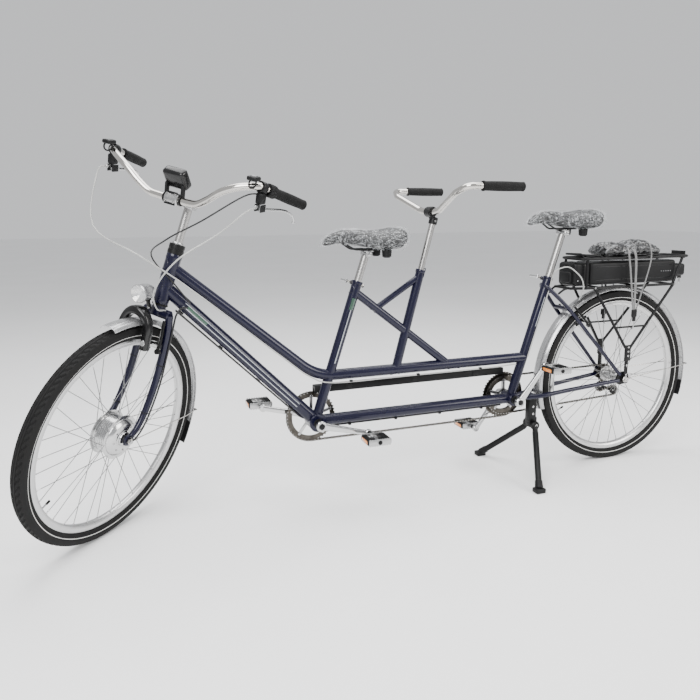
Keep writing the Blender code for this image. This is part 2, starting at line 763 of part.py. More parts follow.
def crankset(word, axle, angle, rings, bike):
    """Left arm, right arm with its spindle, and the chainrings, all turning on the bottom bracket."""
    spin = pivot(f"{word}_crank_pivot", axle, bike)
    left_end, right_end = crank_end(axle, angle, 1), crank_end(axle, angle, -1)
    left = crank_arm(axle, left_end, -1, 0.066, 0.086)
    left = cut(left, across(axle + Vector((0, -0.060, 0)), 0.0125, 0.0088 + GAP, 12))
    piece(f"{word}_left_crank", left, "alloy", spin)
    right = union(
        crank_arm(axle, right_end, 1, 0.071, 0.090),
        rod(axle + Vector((0, -0.068, 0)), axle + Vector((0, 0.066, 0)), 0.0088, 16),
        rod(axle + Vector((0, 0.0385, 0)), axle + Vector((0, 0.066, 0)), 0.0170, 16),
    )
    piece(f"{word}_right_crank", right, "alloy", spin)
    inner = chain_radius(min(t for _, t in rings)) - 0.0185
    shapes = []
    for y, teeth in rings:
        outer = chain_radius(teeth) - 0.0052
        centre = axle + Vector((0, y, 0))
        shapes.append(
            revolve([(inner, -0.0014), (outer, -0.0014), (outer, 0.0014), (inner, 0.0014)], centre,
                    steps=28)
        )
    low, high = min(y for y, _ in rings), max(y for y, _ in rings)
    hub_y = axle + Vector((0, (low + high) / 2, 0))
    reach = (high - low) / 2 + 0.0014
    ring_radius = inner + 0.006
    sleeve_profile = [(0.0175, -reach), (0.026, -reach), (0.026, reach), (0.0175, reach)]
    shapes.append(revolve(sleeve_profile, hub_y, steps=24))
    for k in range(5):
        turn = 2 * math.pi * k / 5 + 0.3
        heading = Vector((math.cos(turn), 0, math.sin(turn)))
        arm = block(
            hub_y + heading * (ring_radius + 0.020) / 2,
            (ring_radius - 0.018, 2 * reach, 0.012),
            Matrix.Rotation(-turn, 4, "Y"),
        )
        shapes.append(arm)
    piece(f"{word}_chainrings" if len(rings) > 1 else f"{word}_chainring", union(*shapes), "alloy", spin)
    for side, side_word, end, inner in ((-1, "left", left_end, 0.0925), (1, "right", right_end, 0.0965)):
        pedal(f"{word}_{side_word}", end, side, inner, spin)


def pedal(name, end, side, inner_y, parent):
    """A platform pedal with two end plates, turning on its axle."""
    centre = Vector((end.x, side * (inner_y + 0.056), end.z))
    spin = pivot(f"{name}_pedal_pivot", centre, parent)
    body = union(
        rod(Vector((end.x, side * (inner_y + GAP), end.z)), centre + Vector((0, side * 0.045, 0)), 0.0105,
            12),
        block(centre + Vector((0, -side * 0.030, 0)), (0.080, 0.0030, 0.024), None),
        block(centre + Vector((0, side * 0.040, 0)), (0.080, 0.0030, 0.024), None),
        block(centre + Vector((0.032, side * 0.005, 0)), (0.022, 0.072, 0.018), None),
        block(centre + Vector((-0.032, side * 0.005, 0)), (0.022, 0.072, 0.018), None),
        block(centre, (0.050, 0.020, 0.010), None),
    )
    piece(f"{name}_pedal", body, "black_plastic", spin)


def chains(bike):
    """Both roller chains as closed bands, and the guard over the timing chain's upper run."""
    timing = belt([(FRONT_BB, chain_radius(TIMING_TEETH), -1), (REAR_BB, chain_radius(TIMING_TEETH), -1)],
                  0)
    drive = belt(
        [
            (REAR_BB, chain_radius(DRIVE_TEETH), -1),
            (REAR_HUB, chain_radius(SPROCKET_TEETH), -1),
            (GUIDE_PULLEY, 0.0205, 1),
            (TENSION_PULLEY, 0.0205, -1),
        ],
        0,
    )
    for name, line, y in (("timing_chain", timing, TIMING_PLANE_Y), ("drive_chain", drive, DRIVE_PLANE_Y)):
        chain = pipe([p + Vector((0, y, 0)) for p in line], 0.0038, 0, closed=True)
        piece(name, chain, "chain_steel", bike)
    top = BB_HEIGHT + chain_radius(TIMING_TEETH)
    guard = block(
        ((FRONT_BB_X + REAR_BB_X) / 2, TIMING_PLANE_Y - 0.004, top + 0.013), (0.780, 0.030,
            0.026), None, 0.004
    )
    channel = block(
        ((FRONT_BB_X + REAR_BB_X) / 2, TIMING_PLANE_Y, top + 0.002), (0.80, 0.014, 0.022), None
    )
    piece("chain_guard", cut(guard, channel), "black_plastic", bike)


def tensioner(bike):
    """Sprung chain tensioner on the right dropout: arm, guide pulley and tension pulley."""
    mount = Vector((1.976, 0.0, 0.326))
    plane = DRIVE_PLANE_Y + 0.0095
    swing = pivot("tensioner_pivot", mount + Vector((0, plane, 0)), bike)
    guide, tension = GUIDE_PULLEY, TENSION_PULLEY

    def at(point):
        return Vector((point.x, plane, point.z))

    arm = union(
        rod(at(mount) - Vector((0, 0.003, 0)), at(mount) + Vector((0, 0.0065, 0)), 0.009, 12),
        block(at((mount + guide) / 2), (0.040, 0.005, 0.012), Matrix.Rotation(math.radians(-50), 4, "Y")),
        block(at((guide + tension) / 2), (0.078, 0.005, 0.012), Matrix.Rotation(math.radians(18.7), 4,
            "Y")),
        rod(at(guide), at(guide) - Vector((0, 0.0125, 0)), 0.0035, 10),
        rod(at(tension), at(tension) - Vector((0, 0.0125, 0)), 0.0035, 10),
    )
    piece("tensioner_arm", arm, "black_metal", swing)
    for word, centre in (("guide", guide), ("tension", tension)):
        spin = pivot(f"{word}_pulley_pivot", centre, swing)
        profile = [(0.0042, -0.0035), (0.0160, -0.0035), (0.0160, 0.0035), (0.0042, 0.0035)]
        piece(f"{word}_pulley", revolve(profile, centre, steps=16), "black_plastic", spin)


# ---- saddles, posts and the stoker's bar --------------------------------------------------
def saddle_solid(nose, length, width):
    """The pad: narrow rounded nose, wide raised tail. nose is its foremost top point."""
    stations = (  # along the length, half width, top above the nose, depth
        (0.00, 0.016, -0.022, 0.014),
        (0.06, 0.023, -0.002, 0.036),
        (0.25, 0.028, 0.022, 0.052),
        (0.50, 0.050, 0.019, 0.062),
        (0.72, 0.088, 0.018, 0.069),
        (0.90, width / 2, 0.028, 0.080),
        (1.00, width / 2 - 0.018, 0.026, 0.062),
    )
    rings = []
    for t, half, top, depth in stations:
        x = nose.x + t * length
        ring = []
        for k in range(10):
            a = 2 * math.pi * (k + 0.5) / 10
            bulge = 1.0 if math.sin(a) > 0 else 0.9
            ring.append((x, half * bulge * math.cos(a), nose.z + top - depth / 2 + depth / 2 * math.sin(a)))
        rings.append(ring)
    return lofted(rings)


def seat(word, tube_foot, tube_top, rise, width, bike):
    """Seat post with its head, the saddle on its rails, and the quick-release lever of the seat clamp."""
    up = (tube_top - tube_foot).normalized()
    head = tube_top + up * rise
    slide = pivot(f"{word}_seat_pivot", tube_top, bike)
    post = union(
        rod(tube_top - up * 0.16, head, SEAT_POST_R, 16),
        across(head + Vector((0.004, 0, 0.006)), 0.028, 0.0125, 14),
    )
    piece(f"{word}_seat_post", post, "alloy", slide)
    rail_z = head.z + 0.006 + 0.0125 + 0.0035 + GAP
    nose = Vector((head.x - 0.158, 0, rail_z + 0.048))
    length = 0.285
    shapes = [saddle_solid(nose, length, width)]
    for side in (-1, 1):
        rail = rounded(
            [
                (nose.x + 0.050, side * 0.010, nose.z - 0.008),
                (head.x - 0.048, side * 0.021, rail_z),
                (head.x + 0.060, side * 0.021, rail_z),
                (nose.x + 0.245, side * 0.045, nose.z - 0.016),
            ],
            radius=0.04,
            steps=2,
        )
        shapes.append(pipe(rail, 0.0035, 1))
    piece(f"{word}_saddle", union(*shapes), "rubber", slide)
    forward = Vector((up.z, 0, -up.x))
    bolt = tube_top - up * 0.010 + Vector((0, 0.0195, 0)) - forward * 0.0345
    lever_pivot = pivot(f"{word}_seat_lever_pivot", bolt, bike)
    lever = union(
        rod(bolt - up * 0.007, bolt + up * 0.007, 0.0041, 10),
        rod(bolt, bolt + Vector((0, 0.048, 0)), 0.0040, 8),
    )
    piece(f"{word}_seat_lever", lever, "alloy", lever_pivot)


def stoker_cockpit(bike):
    """Sliding post in the mast, and the stoker's upright bar with its two grips."""
    up = (MAST_TOP - MAST_FOOT).normalized()
    clamp = Vector((1.112, 0, 1.028))
    slide = pivot("stoker_post_pivot", MAST_TOP, bike)
    neck = MAST_TOP + up * 0.178
    post = union(
        rod(MAST_TOP - up * 0.15, neck, MAST_POST_R, 16),
        rod(neck - up * 0.012, neck + up * 0.014, 0.0155, 16),
        rod(neck, clamp, 0.0125, 12),
        across(clamp, 0.020, 0.0190, 16),
    )
    post = cut(post, across(clamp, 0.05, BAR_RADIUS + GAP, 16))
    piece("stoker_post", post, "alloy", slide)
    grip_start, grip_end = Vector((1.152, 0.277, 1.108)), Vector((1.300, 0.277, 1.107))

    def half(side):
        corners = [
            (clamp.x, 0.030, clamp.z),
            (clamp.x - 0.002, 0.075, clamp.z + 0.006),
            (1.085, 0.225, 1.088),
            (1.100, 0.277, 1.108),
            grip_start,
            grip_end,
        ]
        return rounded([mirrored(p, side) for p in corners], radius=0.06, steps=3)

    left, right = half(-1), half(1)
    piece("stoker_handlebar", pipe(left[::-1] + right, BAR_RADIUS, 1), "chrome", slide)
    for side, word in ((-1, "left"), (1, "right")):
        start, end = mirrored(grip_start, side), mirrored(grip_end, side)
        along = (end - start).normalized()
        bore = rod(start - along * 0.02, end + along * 0.001, BAR_RADIUS + 2 * GAP, 14)
        grip = cut(rod(start, end + along * 0.006, GRIP_RADIUS, 14), bore)
        piece(f"stoker_{word}_grip", grip, "rubber", slide)


# ---- rack, battery, stand, axle -----------------------------------------------------------
RACK_TOP_Z = 0.846
RACK_FLOOR_Z = 0.733
RACK_FRONT_X = 1.700
RACK_REAR_X = 2.278
RACK_HALF_Y = 0.064
BATTERY_HALF_Y = 0.052
DOCK_REAR_X = 1.787
BATTERY_LENGTH = 0.434
BATTERY_LOW_Z = RACK_FLOOR_Z + 0.0067
BATTERY_HIGH_Z = RACK_TOP_Z - 0.014
PARCEL_SIZE = Vector((0.285, 0.15, 0.065))


def rear_rack(bike):
    """Tube rack: top frame, battery floor frame, uprights, and two legs each side down to the dropouts."""
    tube = 0.0055

    def loop(x0, x1, z):
        corners = [(x0, -1), (x0, 1), (x1, 1), (x1, -1), (x0, -1), (x0, 1)]
        route = rounded([(x, RACK_HALF_Y * s, z) for x, s in corners], radius=0.03, steps=3)
        return pipe(route[1:-1], tube, 1)

    shapes = [
        loop(RACK_FRONT_X + 0.035, RACK_REAR_X, RACK_TOP_Z),
        pipe([(RACK_FRONT_X, -0.048, RACK_FLOOR_Z), (RACK_FRONT_X, 0.048, RACK_FLOOR_Z)], tube, 1),
    ]
    for x in (1.85, 1.96, 2.07, 2.18):
        shapes.append(across((x, 0, RACK_TOP_Z), RACK_HALF_Y, 0.0040, 6))
    for x in (1.83, 2.02, 2.195):
        shapes.append(across((x, 0, RACK_FLOOR_Z), RACK_HALF_Y, 0.0040, 6))
    for side in (-1, 1):
        y = side * RACK_HALF_Y
        lug = Vector((1.972, side * 0.0775, 0.470))
        shapes += [
            pipe([(RACK_FRONT_X, side * 0.044, RACK_FLOOR_Z), (1.76, y, RACK_FLOOR_Z),
                  (2.205, y, RACK_FLOOR_Z)], tube, 1),
            rod((1.760, y, RACK_FLOOR_Z), (1.760, y, RACK_TOP_Z), tube, 6),
            rod((2.195, y, RACK_FLOOR_Z), (2.240, y, RACK_TOP_Z), tube, 6),
            pipe([(1.800, y, RACK_FLOOR_Z), (1.954, side * 0.0775, 0.492), lug], tube, 1),
            pipe([(2.200, y, RACK_FLOOR_Z), (1.988, side * 0.0775, 0.492), lug], tube, 1),
            rod((1.905, side * 0.0730, 0.570), (2.052, side * 0.0730, 0.570), 0.0040, 6),
            block(lug + Vector((-0.001, 0, -0.0065)), (0.030, 0.008, 0.066), None, 0.002),
            block((1.969, side * 0.0760, 0.388), (0.018, 0.005, 0.092), None),
        ]
    rack = cut(union(*shapes), across(REAR_HUB, 0.09, 0.0056, 12))
    piece("rear_rack", rack, "black_metal", bike)


def battery_pack(bike):
    """Controller dock at the front of the rack and the battery that slides out of it to the rear."""
    middle = (BATTERY_LOW_Z + BATTERY_HIGH_Z) / 2
    tall = BATTERY_HIGH_Z - BATTERY_LOW_Z
    dock = union(
        block((DOCK_REAR_X - 0.0375, 0, middle), (0.075, 2 * BATTERY_HALF_Y, tall), None, 0.010),
        block((DOCK_REAR_X - 0.066, 0, middle - 0.012), (0.036, 0.070, 0.044), None, 0.006),
    )
    piece("battery_dock", dock, "black_plastic", bike)
    front = DOCK_REAR_X + 0.0005
    slide = pivot("battery_pivot", Vector((front, 0, middle)), bike)
    body = block(
        (front + GAP + BATTERY_LENGTH / 2, 0, middle + 0.001),
        (BATTERY_LENGTH, 2 * BATTERY_HALF_Y, tall - 0.002),
        None,
        0.010,
    )
    latch = block((front + BATTERY_LENGTH + 0.030, 0, middle + 0.002), (0.070, 0.080, 0.050), None, 0.010)
    piece("battery", union(body, latch), "black_plastic", slide)


def stand(bike):
    """Twin-leg stand: bracket bolted under the chain stays, and the legs that fold up and back."""
    bracket = union(
        block((1.566, 0, 0.2970), (0.036, 0.050, 0.006), None),
        block((1.573, 0, 0.250), (0.034, 0.030, 0.096), None, 0.004),
        block((1.577, 0, 0.200), (0.036, 0.030, 0.040), None, 0.003),
    )
    bracket = cut(bracket, across(STAND_PIVOT, 0.04, 0.0055, 14))
    piece("stand_bracket", bracket, "black_metal", bike)
    fold = pivot("stand_pivot", STAND_PIVOT, bike)
    shapes = [across(STAND_PIVOT, 0.036, 0.0050, 12)]
    for side in (-1, 1):
        cheek = STAND_PIVOT + Vector((0, side * 0.0255, 0))
        foot = mirrored(STAND_FOOT, side)
        route = [cheek, cheek + Vector((-0.006, side * 0.012, -0.022)), foot + Vector((0, 0, 0.012))]
        shapes += [
            rod(cheek - Vector((0, side * 0.0095, 0)), cheek + Vector((0, side * 0.008, 0)), 0.018, 16),
            pipe(route, 0.0095, 2),
            block(foot + Vector((0, 0, 0.009)), (0.040, 0.034, 0.018), None, 0.004),
        ]
    piece("stand_legs", union(*shapes), "black_metal", fold)


def rear_axle():
    """Axle bolted into both dropouts, with a nut outside each."""
    shapes = [across(REAR_HUB, 0.094, 0.0050, 10)]
    for side in (-1, 1):
        shapes.append(rod((WHEELBASE, side * 0.0795, TYRE_RADIUS), (WHEELBASE, side * 0.0895, TYRE_RADIUS),
                          0.0095, 6))
    return shapes


def parcel(bike):
    """A soft wrapped parcel lying on the rack under its straps."""
    z_low = RACK_TOP_Z + 0.0055 + GAP
    bag = block((1.993, 0.0, z_low + PARCEL_SIZE.z / 2), PARCEL_SIZE, None, 0.022)
    piece("parcel", bag, "rubber", bike)


# ---- cables -------------------------------------------------------------------------------
def steered(point):
    """Where a point of the straight-ahead fork assembly is once the bar is turned to its rest angle."""
    turn = Quaternion(STEER_AXIS, STEER_AT_REST)
    return STEER_BASE + turn @ (Vector(point) - STEER_BASE)


def frame_cables(bike):
    """Gear and rear-brake housings: from the bar, looping past the head tube, then clipped along the frame."""
    right_clamp = mirrored(LEVER_STATION, 1) + Vector((-0.0235, 0.004, -0.055))
    start = steered(right_clamp)
    lead = steered(right_clamp + Vector((-0.045, -0.004, -0.012)))
    route = smooth(
        [start, lead, (-0.010, 0.060, 0.990), (0.110, -0.045, 0.905), (0.215, -0.038, 0.830),
         (0.300, -0.0235, 0.762)],
        5,
    )
    below = [(0.420, -0.0235, 0.662), (0.560, -0.0235, 0.545), (0.650, -0.0235, 0.474),
             (0.740, -0.0235, 0.4445)]
    along_top = [(1.000, -0.0235, 0.4440), (1.350, -0.0235, 0.4440), (1.480, -0.0215, 0.4475)]
    housing = pipe(route + smooth(below + along_top, 2), 0.0024, 1)
    piece("rear_brake_cable", housing, "cable_grey", bike)


def main():
    for old in list(bpy.data.objects):
        bpy.data.objects.remove(old)
    bike = bpy.data.objects.new("bike", None)
    PARTS.objects.link(bike)
    steering = pivot("steering", STEER_BASE, bike)

    main_frame(bike)
    rear_wheel(pivot("rear_wheel_pivot", REAR_HUB, bike))
    brake_pair("rear", REAR_HUB, Vector((1.791, 0.052, 0.586)), Vector((-0.671, 0, 0.741)), bike)
    mudguard("rear_mudguard", REAR_HUB, -12, 196, 4, 0.0705, bike)
    rear_rack(bike)
    battery_pack(bike)
    parcel(bike)
    stand(bike)
    chains(bike)
    tensioner(bike)
    crankset("front", FRONT_BB, FRONT_CRANK_ANGLE, [(TIMING_PLANE_Y, TIMING_TEETH)], bike)
    crankset(
        "rear", REAR_BB, REAR_CRANK_ANGLE, [(TIMING_PLANE_Y, TIMING_TEETH),
                                            (DRIVE_PLANE_Y, DRIVE_TEETH)], bike
    )
    seat("front", FRONT_BB, FRONT_SEAT_TOP, 0.092, 0.205, bike)
    seat("rear", REAR_BB, REAR_SEAT_TOP, 0.172, 0.215, bike)
    stoker_cockpit(bike)

    fork(steering)
    front_wheel(pivot("front_wheel_pivot", FRONT_HUB, steering))
    brake_pair("front", FRONT_HUB, Vector((0.1155, 0.050, 0.6165)), Vector((0.261, 0, 0.965)), steering)
    mudguard("front_mudguard", FRONT_HUB, -20, 97, -8, 0.0645, steering)
    stem_and_bar(steering)
    captain_controls(steering)
    cockpit_extras(steering)
    wheel_lock(steering)
    frame_cables(bike)

    steering.rotation_mode = "QUATERNION"
    steering.rotation_quaternion = Quaternion(STEER_AXIS, STEER_AT_REST)
    bike.location = ORIGIN_SHIFT


PARTS = new_collection("tandem_bicycle")
CUTTERS = new_collection("cutters", hidden=True)
main()
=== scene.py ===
"""Looks of the upright electric tandem bicycle: tubes, laced wheels, linked chains, cables and soft parts.

Everything is placed in the bicycle's own frame: front axle above x = 0, riding direction -X, left side -Y and
floor z = 0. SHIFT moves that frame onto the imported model. Pieces that steer are built straight, then turned.
"""

import math

import bmesh
import bpy
from mathutils import Matrix, Quaternion, Vector, noise


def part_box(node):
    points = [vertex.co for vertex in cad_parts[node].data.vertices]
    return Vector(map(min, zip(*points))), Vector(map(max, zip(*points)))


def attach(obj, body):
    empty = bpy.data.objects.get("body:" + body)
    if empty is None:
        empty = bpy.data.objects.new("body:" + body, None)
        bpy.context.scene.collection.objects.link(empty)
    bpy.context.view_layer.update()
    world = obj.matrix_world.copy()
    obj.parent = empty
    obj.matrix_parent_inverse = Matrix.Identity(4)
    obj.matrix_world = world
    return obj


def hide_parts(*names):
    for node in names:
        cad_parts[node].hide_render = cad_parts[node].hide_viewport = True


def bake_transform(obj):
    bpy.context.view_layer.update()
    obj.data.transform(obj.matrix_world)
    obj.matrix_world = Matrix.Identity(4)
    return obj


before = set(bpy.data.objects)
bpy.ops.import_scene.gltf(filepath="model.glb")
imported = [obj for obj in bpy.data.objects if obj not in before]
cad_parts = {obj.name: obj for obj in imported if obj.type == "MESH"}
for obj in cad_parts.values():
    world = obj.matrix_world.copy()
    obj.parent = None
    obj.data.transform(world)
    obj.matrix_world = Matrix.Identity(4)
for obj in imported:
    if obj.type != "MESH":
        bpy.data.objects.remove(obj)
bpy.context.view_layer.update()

# ---- sizes shared with the solid model, in metres ------------------------------------------
WHEELBASE = 1.966
AXLE_Z = 0.355
RIM_R = 0.3125
SPOKES = 36
HEAD_ANGLE = math.radians(71.3)
STEER_AXIS = Vector((math.cos(HEAD_ANGLE), 0.0, math.sin(HEAD_ANGLE)))
STEER_BASE = Vector((0.039, 0.0, AXLE_Z))
STEER_AT_REST = math.radians(47)
FRONT_HUB = Vector((0.0, 0.0, AXLE_Z))
REAR_HUB = Vector((WHEELBASE, 0.0, AXLE_Z))
FRONT_BB = Vector((0.675, 0.0, 0.308))
REAR_BB = Vector((1.472, 0.0, 0.308))
CRANK = 0.17
FRONT_CRANK_ANGLE = math.radians(-13)
REAR_CRANK_ANGLE = math.radians(56)
PITCH = 0.0127
TIMING_TEETH, DRIVE_TEETH, SPROCKET_TEETH = 44, 38, 18
TIMING_Y, DRIVE_Y = 0.0545, 0.045
TUBE_Z = 0.467
FRONT_SEAT_TOP = Vector((0.834, 0.0, 0.792))
REAR_SEAT_TOP = Vector((1.629, 0.0, 0.777))
MAST_FOOT = Vector((0.981, 0.0, TUBE_Z))
MAST_TOP = Vector((1.077, 0.0, 0.824))
STOKER_CLAMP = Vector((1.112, 0.0, 1.028))
BAR_CLAMP = Vector((0.196, 0.0, 1.077))
GRIP_START = Vector((0.286, 0.288, 1.1535))
GRIP_END = Vector((0.411, 0.3185, 1.114))
GRIP_AXIS = (GRIP_END - GRIP_START).normalized()
BAR_R = 0.0111
FULL_TURN = 2 * math.pi
GUIDE_PULLEY = Vector((1.952, DRIVE_Y, 0.297))
TENSION_PULLEY = Vector((2.02, DRIVE_Y, 0.274))
RACK_TOP, RACK_FLOOR, RACK_Y = 0.846, 0.733, 0.064
HEAD_JOINT = Vector((0.195, 0.0, 0.792))
BEAD_R = 0.0016
GEAR_TOOTH = 0.0042
GRIP_R = 0.0165

low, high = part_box("rear_rim")
SHIFT = (low + high) / 2 - REAR_HUB
STEER = (
    Matrix.Translation(STEER_BASE) @ Quaternion(STEER_AXIS, STEER_AT_REST).to_matrix().to_4x4()
) @ Matrix.Translation(-STEER_BASE)


def steered(point):
    """Where a point of the straight-ahead fork is with the bar at its rest angle."""
    return STEER @ Vector(point)


def on_axis(distance):
    return STEER_BASE + STEER_AXIS * distance


# ---- materials -----------------------------------------------------------------------------
class Nodes:
    """Short calls for building one material's node tree."""

    def __init__(self, name):
        self.material = bpy.data.materials.new(name)
        self.material.use_nodes = True
        self.tree = self.material.node_tree
        self.shader = self.tree.nodes["Principled BSDF"]
        self.coords = self.tree.nodes.new("ShaderNodeTexCoord").outputs["Object"]

    def add(self, kind, values=None, **links):
        node = self.tree.nodes.new("ShaderNode" + kind)
        for key, value in (values or {}).items():
            if key in node.inputs:
                node.inputs[key].default_value = value
            else:
                setattr(node, key, value)
        for key, source in links.items():
            self.tree.links.new(source, node.inputs[key.replace("_", " ")])
        return node

    def set(self, key, value):
        self.shader.inputs[key].default_value = value

    def link(self, source, key):
        self.tree.links.new(source, self.shader.inputs[key])

    def stretched(self, scale):
        """Object coordinates scaled differently along each axis, for brushed or woven finishes."""
        return self.add("Mapping", {"Scale": scale}, Vector=self.coords).outputs["Vector"]

    def grain(self, scale, detail=4.0, coords=None, rough=0.6):
        values = {"Scale": scale, "Detail": detail, "Roughness": rough}
        return self.add("TexNoise", values, Vector=coords or self.coords).outputs["Fac"]

    def spread(self, source, low_value, high_value, start=0.3, end=0.7):
        """A noise turned into a range of values."""
        values = {"From Min": start, "From Max": end, "To Min": low_value, "To Max": high_value}
        return self.add("MapRange", values, Value=source).outputs["Result"]

    def blend_colours(self, source, first, second):
        """A colour that runs from first to second as source goes from 0.3 to 0.7."""
        node = self.add("ValToRGB", Fac=source)
        ramp = node.color_ramp
        ramp.elements[0].position, ramp.elements[1].position = 0.3, 0.7
        ramp.elements[0].color, ramp.elements[1].color = (*first, 1), (*second, 1)
        return node.outputs["Color"]

    def bump(self, source, strength, distance):
        values = {"Strength": strength, "Distance": distance}
        self.link(self.add("Bump", values, Height=source).outputs["Normal"], "Normal")


def finish(
    name,
    colour,
    roughness,
    metallic=0.0,
    coat=0.0,
    vary=0.12,
    cloud=9.0,
    fine=900.0,
    depth=0.00008,
    spread=0.08,
    specular=0.5,
):
    """A general finish: colour and gloss drift slowly over the surface, and a fine grain bumps it."""
    n = Nodes(name)
    slow = n.grain(cloud)
    darker = tuple(c * (1 - vary) for c in colour)
    lighter = tuple(min(1, c * (1 + vary) + 0.002) for c in colour)
    n.link(n.blend_colours(slow, darker, lighter), "Base Color")
    smudge = n.grain(cloud * 6, 6.0)
    n.link(n.spread(smudge, max(0.03, roughness - spread), roughness + spread), "Roughness")
    n.set("Metallic", metallic)
    n.set("Specular IOR Level", specular)
    n.set("Coat Weight", coat)
    n.set("Coat Roughness", 0.06)
    n.bump(n.grain(fine, 3.0), 0.5, depth)
    return n.material


def paint_finish():
    """Dark navy gloss enamel with a fine metallic flake under clear lacquer and a little orange peel."""
    n = Nodes("navy_enamel")
    flake = n.add("TexVoronoi", {"Scale": 2600.0}, Vector=n.coords).outputs["Color"]
    grey = n.add("RGBToBW", Color=flake).outputs["Val"]
    n.link(n.blend_colours(grey, (0.002, 0.002, 0.011), (0.0042, 0.0042, 0.022)), "Base Color")
    n.link(n.spread(n.grain(14, 5.0), 0.2, 0.32), "Roughness")
    n.set("Metallic", 0.1)
    n.set("Specular IOR Level", 0.25)
    n.set("Coat Weight", 0.3)
    n.set("Coat Roughness", 0.05)
    n.bump(n.grain(260, 2.0), 0.25, 0.00006)
    return n.material


def brushed_finish(name, colour, roughness, stretch):
    """Metal with fine parallel scratches along one axis."""
    n = Nodes(name)
    lines = n.grain(60, 6.0, n.stretched(stretch), 0.75)
    n.link(n.blend_colours(lines, tuple(c * 0.86 for c in colour), colour), "Base Color")
    n.link(n.spread(lines, roughness - 0.08, roughness + 0.12), "Roughness")
    n.set("Metallic", 1.0)
    n.bump(lines, 0.25, 0.00003)
    return n.material


def tyre_finish():
    """Black rubber with a soft sheen, dusty on the tread and lightly ribbed on the wall."""
    n = Nodes("tyre_rubber")
    dust = n.grain(35, 8.0)
    n.link(n.blend_colours(dust, (0.0035, 0.0035, 0.0038), (0.01, 0.0098, 0.0095)), "Base Color")
    n.link(n.spread(dust, 0.62, 0.86), "Roughness")
    n.set("Specular IOR Level", 0.2)
    n.bump(n.grain(1400, 4.0), 0.6, 0.00012)
    return n.material


def vinyl_finish():
    """Black saddle vinyl with a pebbled leather grain."""
    n = Nodes("saddle_vinyl")
    values = {"Scale": 520.0, "feature": "DISTANCE_TO_EDGE"}
    cells = n.add("TexVoronoi", values, Vector=n.coords).outputs["Distance"]
    n.link(n.blend_colours(n.grain(22, 5.0), (0.003, 0.003, 0.0033), (0.008, 0.0078, 0.008)), "Base Color")
    n.link(n.spread(n.grain(60, 5.0), 0.36, 0.55), "Roughness")
    n.bump(n.spread(cells, 0.0, 1.0, 0.0, 0.25), 0.5, 0.00018)
    return n.material


def film_finish(name, film_and_highlight_tint, alpha_low, crease_highlight_alpha):
    """Crinkled clear plastic film: nearly invisible where flat; along its fine creases the pale tint turns
    nearly opaque, a painted highlight.
    """
    n = Nodes(name)
    along = n.stretched((0.6, 1.5, 1.3))
    values = {"Scale": 42.0, "Detail": 4.0, "Roughness": 0.5, "Distortion": 2.2}
    folds = n.add("TexNoise", values, Vector=along).outputs["Fac"]
    centred = n.add("Math", {"operation": "SUBTRACT"})
    n.tree.links.new(folds, centred.inputs[0])
    size = n.add("Math", {"operation": "ABSOLUTE"})
    n.tree.links.new(centred.outputs["Value"], size.inputs[0])
    # painted highlight: along the crease lines the pale tint becomes nearly opaque, standing in for the glints
    # on the creases
    n.link(n.spread(size.outputs["Value"], crease_highlight_alpha, alpha_low, 0.0, 0.03), "Alpha")
    n.set("Base Color", (*film_and_highlight_tint, 1))
    n.set("Roughness", 0.16)
    n.set("Coat Weight", 0.7)
    n.bump(n.spread(size.outputs["Value"], 1.0, 0.0, 0.0, 0.11), 1.0, 0.0012)
    return n.material


def wrap_finish():
    """Dark bags inside a grey, creased stretch film: black folds next to pale, shiny ones."""
    n = Nodes("parcel_wrap")
    values = {"Scale": 24.0, "Detail": 8.0, "Roughness": 0.66, "Distortion": 1.4}
    folds = n.add("TexNoise", values, Vector=n.stretched((0.8, 1.6, 1.4))).outputs["Fac"]
    pale = n.spread(folds, 0.0, 1.0, 0.47, 0.66)
    n.link(n.blend_colours(pale, (0.005, 0.005, 0.0055), (0.19, 0.195, 0.2)), "Base Color")
    n.link(n.spread(folds, 0.18, 0.42), "Roughness")
    n.set("Coat Weight", 0.5)
    n.bump(folds, 1.0, 0.002)
    return n.material


def weave_finish(name, colour):
    """Woven elastic: two crossed thread directions."""
    n = Nodes(name)
    cloth = n.add("Math", {"operation": "MULTIPLY"})
    for direction, entry in zip("XY", cloth.inputs):
        values = {"Scale": 220.0, "Distortion": 0.4, "bands_direction": direction}
        n.tree.links.new(n.add("TexWave", values, Vector=n.coords).outputs["Fac"], entry)
    n.link(n.blend_colours(cloth.outputs["Value"], tuple(c * 0.6 for c in colour), colour), "Base Color")
    n.set("Roughness", 0.8)
    n.set("Sheen Weight", 0.4)
    n.bump(cloth.outputs["Value"], 0.6, 0.0004)
    return n.material


def lens_finish(name, colour):
    """Prismatic reflector plastic: small cells behind a glossy face."""
    n = Nodes(name)
    cells = n.add("TexVoronoi", {"Scale": 420.0, "feature": "F1"}, Vector=n.coords).outputs["Distance"]
    n.link(n.blend_colours(cells, tuple(c * 0.55 for c in colour), colour), "Base Color")
    n.set("Roughness", 0.08)
    n.set("Coat Weight", 1.0)
    n.bump(cells, 0.6, 0.0004)
    return n.material


def glass_finish():
    n = Nodes("lamp_glass")
    n.set("Base Color", (0.95, 0.97, 1.0, 1))
    n.link(n.spread(n.grain(40, 3.0), 0.02, 0.07), "Roughness")
    n.set("Alpha", 0.35)
    ribs = n.add("TexWave", {"Scale": 90.0, "bands_direction": "Y"}, Vector=n.coords).outputs["Fac"]
    n.bump(ribs, 0.4, 0.0005)
    return n.material


